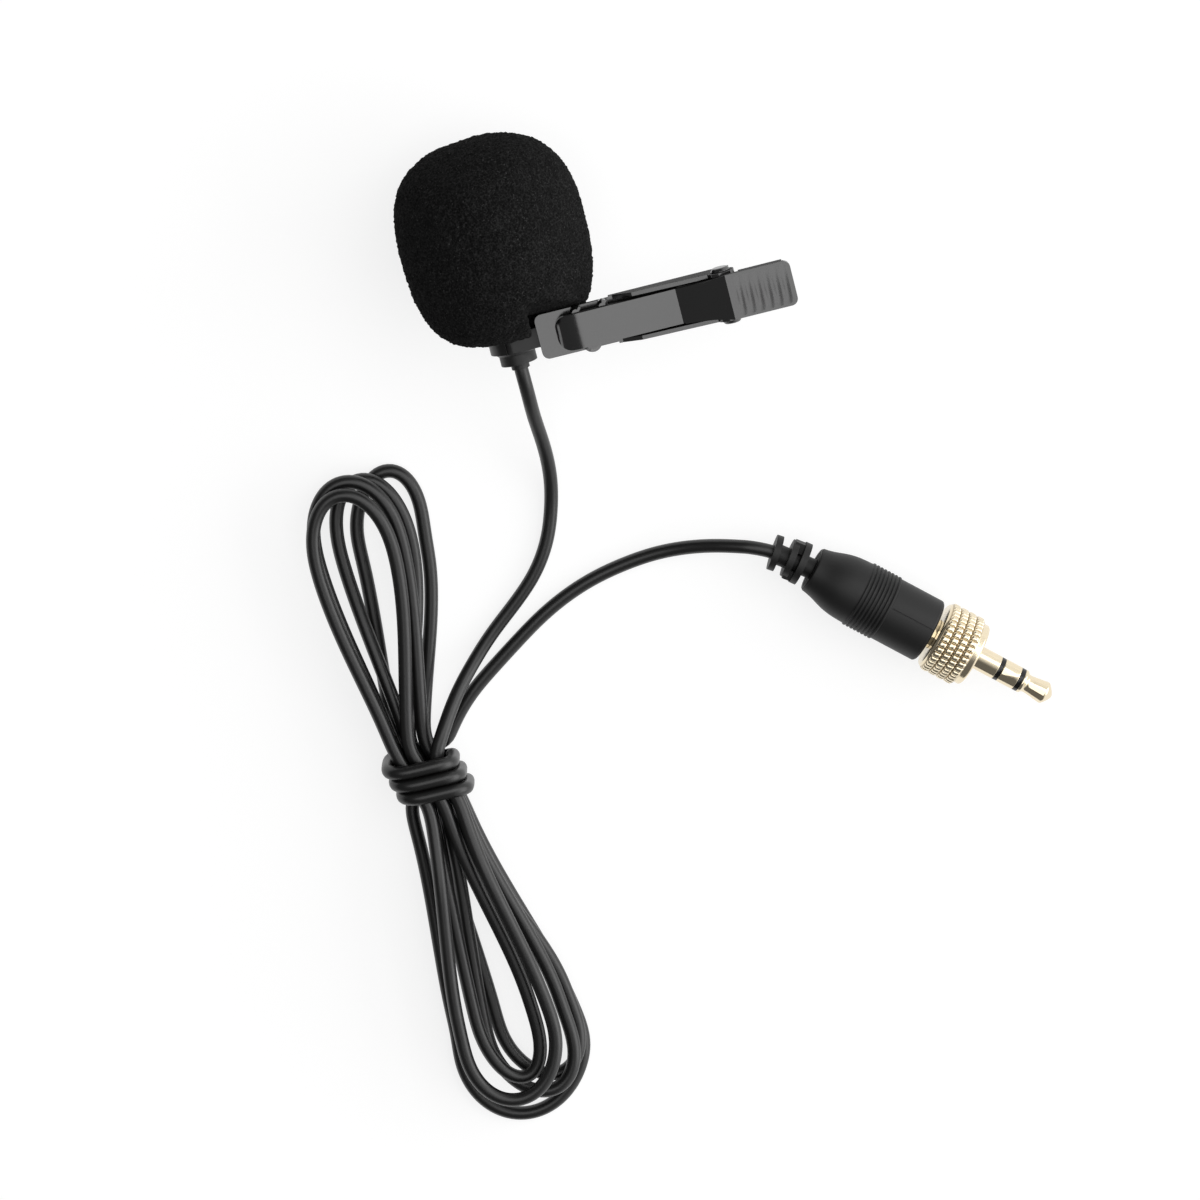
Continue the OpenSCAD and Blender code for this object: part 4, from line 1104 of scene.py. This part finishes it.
def turned(name, outline, finish, body, slot, edge=0.08, turns=96, sharp=40):
    mesh = spun_mesh(eased_corners(outline, edge), turns)
    mesh.transform(PLUG_FRAME)
    piece = new_piece(name, mesh, finish, sharp)
    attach(piece, body)
    return piece


print("turning helpers ready")

# %% [markdown]
# Holes in a sheet and the teeth of a knurl are laid out alike: in rows, with every other row
# shifted by half a step. Two helpers do that in a tree. One numbers the points by row and by
# place in the row; the other sets a tile on each of them and turns it.

# %% Staggered rows
def staggered(graph, rows, per_row):
    """Points, the row of each, and its place in the row."""
    cloud = graph.node("GeometryNodePoints", None, {"Count": rows * per_row})[0]
    index = graph.node("GeometryNodeInputIndex")["Index"]
    row = (index / per_row + 0.0001).floor()
    return cloud, row, index - row * per_row + (row % 2.0) * 0.5


def planted(graph, cloud, place, tile, z_axis, x_axis, chosen=True):
    """Copies of a tile at the chosen points, with the tile's z and x along two axes."""
    placed = graph.node("GeometryNodeSetPosition", None,
                        {"Geometry": cloud, "Position": place})["Geometry"]
    turn = graph.node("FunctionNodeAxesToRotation", {"primary_axis": "Z", "secondary_axis": "X"},
                      {"Primary Axis": z_axis, "Secondary Axis": x_axis})["Rotation"]
    return graph.node("GeometryNodeInstanceOnPoints", None, {
        "Points": placed, "Selection": chosen, "Instance": tile, "Rotation": turn})["Instances"]


print("row helpers ready")

# %% [markdown]
# With the windscreen off, the front of the capsule's tube shows: a drawn cap with a fine
# hexagonal field of holes. Cutting a hundred holes one at a time is slow by hand, so a tree
# lays one plug on each point of a staggered grid and cuts them all out of the cap at once.

# %% Perforated cap
CAP_Y = HEAD_Y + 13.4
FACE_X = 1.4
PLUG_DEPTH = 1.5
ROW_STEP = math.sqrt(3) / 2


def cap_mesh():
    """The cap: rim and face as one closed turned shell; x is its axis."""
    outline = [(0, 2.94), (0, 3.1), (1.42, 3.1), (1.6, 2.92), (1.6, 0), (1.2, 0), (1.2, 2.75),
               (1.0, 2.94)]
    return spun_mesh(eased_corners(outline, 0.06), 72)


def perforated_tree(finish):
    graph, given = geometry_tree("perforated_face", {
        "Rows": "Int", "Pitch": "Float", "Hole": "Float", "Field": "Float"})
    cloud, row, along = staggered(graph, given["Rows"], given["Rows"])
    middle = (given["Rows"] - 1.0) * 0.5
    across = (along - middle) * given["Pitch"]
    up = (row - middle) * given["Pitch"] * ROW_STEP
    place = graph.node("ShaderNodeCombineXYZ", None, {
        "X": FACE_X * MM, "Y": across, "Z": up})["Vector"]
    inside = given["Field"].over((across * across + up * up) ** 0.5)
    plug = graph.node("GeometryNodeMeshCylinder", None, {
        "Vertices": 10, "Radius": given["Hole"] * 0.5, "Depth": PLUG_DEPTH * MM})["Mesh"]
    plugs = planted(graph, cloud, place, plug, (1.0, 0.0, 0.0), (0.0, 1.0, 0.0), inside)
    solid = graph.node("GeometryNodeRealizeInstances", None, {"Geometry": plugs})[0]
    cut = graph.node("GeometryNodeMeshBoolean", {"operation": "DIFFERENCE", "solver": "EXACT"}, {
        "Mesh 1": given["Geometry"], "Mesh 2": solid})["Mesh"]
    return finish_tree(graph, cut, finish)


perforated_cap = grow("perforated_cap", cap_mesh(), perforated_tree(STEEL),
                      {"Rows": 11, "Pitch": 0.56 * MM, "Hole": 0.34 * MM, "Field": 2.35 * MM})
perforated_cap.data.transform(Matrix.Translation(Vector((HEAD_X, CAP_Y, HEAD_Z)) * MM)
                              @ Matrix.Rotation(math.pi / 2, 4, "Z"))
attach(perforated_cap, "microphone")
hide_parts("grille_cap")
print("perforated cap: %d faces" % len(perforated_cap.data.polygons))

# %% [markdown]
# The jack is a stack on one rod: tip, ring and sleeve are plated brass tubes, one inside the
# other, and black plastic keeps them apart and shows as two bands. Each piece keeps its
# hidden tube, so a section through the plug still reads right.

# %% Jack
JACK_REAR, SHOULDER_END = 20.4, 28.68
SLEEVE_END, RING_START, RING_END, TIP_START = 36.5, 37.14, 39.76, 40.4
SHOULDER_R, SHAFT_R, BAND_R = 2.2, 1.75, 1.73
# distance from the start of the tip, radius
TIP_PROFILE = [(0, SHAFT_R), (0.4, SHAFT_R), (0.65, 1.46), (0.9, 1.34), (1.2, 1.33),
               (1.7, 1.39), (3.75, 1.67), (3.95, 1.6), (4.15, 1.42), (4.4, 1.12), (4.65, 0.8),
               (4.85, 0.5), (4.97, 0.22), (5, 0)]


def collared_tube(bore_r, tube_r, start, end, collar_r):
    """A tube from inside the plug, with the collar that shows on the shaft."""
    return [(JACK_REAR, bore_r), (JACK_REAR, tube_r), (start, tube_r), (start, collar_r),
            (end, collar_r), (end, bore_r)]


JACK = [
    ("jack_sleeve", "contact_sleeve", GOLD, "contact_gold", 0.10,
     collared_tube(1.27, SHOULDER_R, SHOULDER_END, SLEEVE_END, SHAFT_R)),
    ("insulator_rear", "band_rear", INSULATOR, "insulator", 0.05,
     collared_tube(0.97, 1.25, SLEEVE_END, RING_START, BAND_R)),
    ("jack_ring", "contact_ring", GOLD, "contact_gold", 0.10,
     collared_tube(0.67, 0.95, RING_START, RING_END, SHAFT_R)),
    ("insulator_front", "band_front", INSULATOR, "insulator", 0.05,
     collared_tube(0.47, 0.65, RING_END, TIP_START, BAND_R)),
    ("jack_tip", "contact_tip", GOLD, "contact_gold", 0.12,
     [(JACK_REAR, 0), (JACK_REAR, 0.45), (TIP_START, 0.45)]
     + [(TIP_START + x, r) for x, r in TIP_PROFILE]),
]
for node, name, finish, slot, edge, outline in JACK:
    piece = turned(name, outline, finish, "microphone", slot, edge)
    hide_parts(node)
print("jack pieces:", [row[1] for row in JACK])

# %% [markdown]
# The sleeve of the plug swells from the relief to the grip. Its outline follows an eased
# curve. The grip rings round it are one small ring, repeated by the same row tree that made
# the waves on the clip.

# %% Plug sleeve and its grip rings
BODY_START, BODY_END = 6.2, 25.4
REAR_R, GRIP_R = 3.35, 4.75
HOLLOW_START, HOLLOW_R, CABLE_HOLE_R = 11.2, 3.22, 1.1
# distance from the rear end, share of the way from REAR_R to GRIP_R
SWELL = [(0.2, 0.0), (1, 0.10), (2, 0.29), (3, 0.53), (4, 0.74), (5.2, 0.9), (6.4, 0.97),
         (7.4, 1)]
swell = [(BODY_START + x, REAR_R + (GRIP_R - REAR_R) * share)
         for x, share, _ in smooth_path(np.array([(x, share, 0) for x, share in SWELL]), 0.35)]
rear = [(BODY_START, CABLE_HOLE_R), (BODY_START, 2.9), (BODY_START + 0.1, 3.2)]
front = [(BODY_END - 0.3, GRIP_R), (BODY_END, GRIP_R - 0.3), (BODY_END, HOLLOW_R),
         (HOLLOW_START, HOLLOW_R), (HOLLOW_START, CABLE_HOLE_R)]
sleeve_outline = rear + swell + front
plug_sleeve = turned("plug_sleeve", sleeve_outline, PLUG_BLACK, "microphone", "plug_plastic",
                     edge=0.18, turns=128, sharp=50)
FIRST_RING, RING_PITCH = 13.95, 0.585
ring_outline = [(-0.22, 4.60), (-0.22, 4.78), (-0.10, 4.93), (0.10, 4.93), (0.22, 4.78),
                (0.22, 4.60)]
grip_rings = grow("grip_rings", spun_mesh(eased_corners(ring_outline, 0.05), 128),
                  row_tree("rings_in_a_row", PLUG_BLACK), {"Copies": 8, "Pitch": RING_PITCH * MM})
grip_rings.data.transform(PLUG_FRAME @ Matrix.Translation((FIRST_RING * MM, 0, 0)))
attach(grip_rings, "microphone")
print("sleeve: %d faces, rings: %d faces" % (len(plug_sleeve.data.polygons),
                                             len(grip_rings.data.polygons)))

# %% [markdown]
# The strain relief is the sleeve's soft tail: discs on a thin waist, two of them tied by
# bars, so that it bends without kinking the cable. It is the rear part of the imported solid,
# cut off where the sleeve begins, with its moulded edges rounded.

# %% Strain relief
cut_at = PLUG_FRAME @ Vector((BODY_START * MM + 0.00005, 0, 0))
relief = rounded_copy("plug_body", "strain_relief", PLUG_BLACK, 0.2, "microphone",
                      cut=[(tuple(cut_at), tuple(PLUG_X))])
for piece in (plug_sleeve, grip_rings, relief):
    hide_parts("plug_body")
print("relief: %d faces" % len(relief.data.polygons))

# %% [markdown]
# The lock ring is turned, then knurled in four rows of small pillows, each row shifted by
# half a tooth. The rows are a rule: a row number and a place in the row give an angle. The
# tree works that out for every point, turns the pillow outwards and realises the copies.

# %% Lock ring and its knurling
LOCK_START, KNURL_R, KNURL_START = 26.2, 5.02, 0.42
# distance from the ring's rear face, radius
LOCK_PROFILE = [(0, 2.23), (0, 4.75), (0.35, KNURL_R), (5.42, KNURL_R), (5.46, 4.72),
                (6.35, 4.72), (6.6, 4.5), (6.6, 2.75), (1.8, 2.75), (1.8, 2.23)]
lock_body = turned("lock_ring_body", [(LOCK_START + x, r) for x, r in LOCK_PROFILE], KNURL_GOLD,
                   "lock_ring", "contact_gold", edge=0.12, turns=128)


def pillow_top(u, v):
    """A soft square top."""
    return 0.27 * MM * ((1 - u ** 4) * (1 - abs(v) ** 3)) ** 0.6


def knurl_tree(finish):
    graph, given = geometry_tree("knurled_rows", {
        "Rows": "Int", "Teeth": "Int", "Row pitch": "Float", "Root radius": "Float"})
    cloud, row, along = staggered(graph, given["Rows"], given["Teeth"])
    angle = along / given["Teeth"] * (2 * math.pi)
    out = graph.node("ShaderNodeCombineXYZ", None, {
        "X": 0.0, "Y": angle.cosine(), "Z": angle.sine()})["Vector"]
    place = graph.node("ShaderNodeCombineXYZ", None, {
        "X": (row + 0.5) * given["Row pitch"], "Y": angle.cosine() * given["Root radius"],
        "Z": angle.sine() * given["Root radius"]})["Vector"]
    return finish_tree(graph, planted(graph, cloud, place, given["Geometry"], out,
                                      (1.0, 0.0, 0.0)), finish)


pillow = domed_mesh("pillow", 6, 6, (1.23 * MM, 0.87 * MM), 0.12 * MM, pillow_top)
knurl = grow("lock_ring_knurl", pillow, knurl_tree(KNURL_GOLD),
             {"Rows": 4, "Teeth": 36, "Row pitch": 1.26 * MM, "Root radius": KNURL_R * MM},
             sharp=60)
knurl.data.transform(PLUG_FRAME @ Matrix.Translation(((LOCK_START + KNURL_START) * MM, 0, 0)))
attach(knurl, "lock_ring")
for piece in (lock_body, knurl):
    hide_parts("lock_ring")
print("knurl: %d faces" % len(knurl.data.polygons))

# %% [markdown]
# The scene is a plain white table and a surround that is white towards the right and nearly
# black at the left, as in a studio with one lit wall. A large soft panel hangs overhead and a
# smaller one stands low at the right. Gloss shows what lies in its mirror direction, so the
# panel's lower edge is what draws the bright and dark bands along the jack and the clip. The
# table shows as a white one would, with the shadows kept.

# %% Table, surround and lights
def seen_directly(graph):
    path = graph.node("ShaderNodeLightPath")
    return (path["Is Camera Ray"] + path["Is Glossy Ray"] + path["Is Transmission Ray"]).least(1.0)


def table_finish():
    f = Finish("white_table")
    cloud = f.grain(14.0, 3.0)
    f.surface(Base_Color=f.blend(cloud, shade(0.27), shade(0.29)), Roughness=0.8,
              Specular_IOR_Level=0.1)
    glow = f.node("ShaderNodeEmission", None, {"Strength": seen_directly(f) * 0.79})
    both = f.node("ShaderNodeAddShader", None, {
        0: Flow(f, f.tree.nodes["Principled BSDF"].outputs[0]), 1: glow[0]})
    f.tree.links.new(both[0].socket, f.tree.nodes["Material Output"].inputs["Surface"])
    return f.material


TABLE_HALF = 6
LIT_WALL = (0.994, -0.108, 0.0)
DARK_LEVEL = 0.14
corners = [(-TABLE_HALF, -TABLE_HALF, 0), (TABLE_HALF, -TABLE_HALF, 0),
           (TABLE_HALF, TABLE_HALF, 0), (-TABLE_HALF, TABLE_HALF, 0)]
table = linked("table", mesh_of("table", corners, [(0, 1, 2, 3)]))
table.data.materials.append(table_finish())
world = bpy.data.worlds.new("surround")
bpy.context.scene.world = world
world.use_nodes = True
sky = Graph(world.node_tree)
towards_lit = sky.vector("DOT_PRODUCT", sky.node("ShaderNodeTexCoord")["Generated"], LIT_WALL)
level = DARK_LEVEL + towards_lit.rise(0.08, 0.6) * (1 - DARK_LEVEL)
background = world.node_tree.nodes["Background"]
world.node_tree.links.new(level.socket, background.inputs["Strength"])
background.inputs["Color"].default_value = (1, 1, 1, 1)


def panel(name, size, place, radiance, towards=None, turn=0.0):
    """An area lamp of even radiance; without a target it hangs level, turned about z."""
    light = bpy.data.lights.new(name, "AREA")
    light.shape = "RECTANGLE"
    light.size, light.size_y = size
    light.energy = radiance * math.pi * size[0] * size[1]
    lamp = linked(name, light)
    lamp.location = place
    lamp.rotation_mode = "QUATERNION"
    if towards:
        lamp.rotation_quaternion = (Vector(towards) - Vector(place)).to_track_quat("-Z", "Y")
    else:
        lamp.rotation_quaternion = Matrix.Rotation(math.radians(turn), 3, "Z").to_quaternion()
    lamp.visible_camera = False


panel("overhead", (0.70, 1.40), (0.279, 0.236, 1.0), 1.5, turn=113.6)
panel("right", (1.3, 0.8), (1.05, -0.26, 0.45), 2.0, towards=(0.0, -0.05, 0.03))
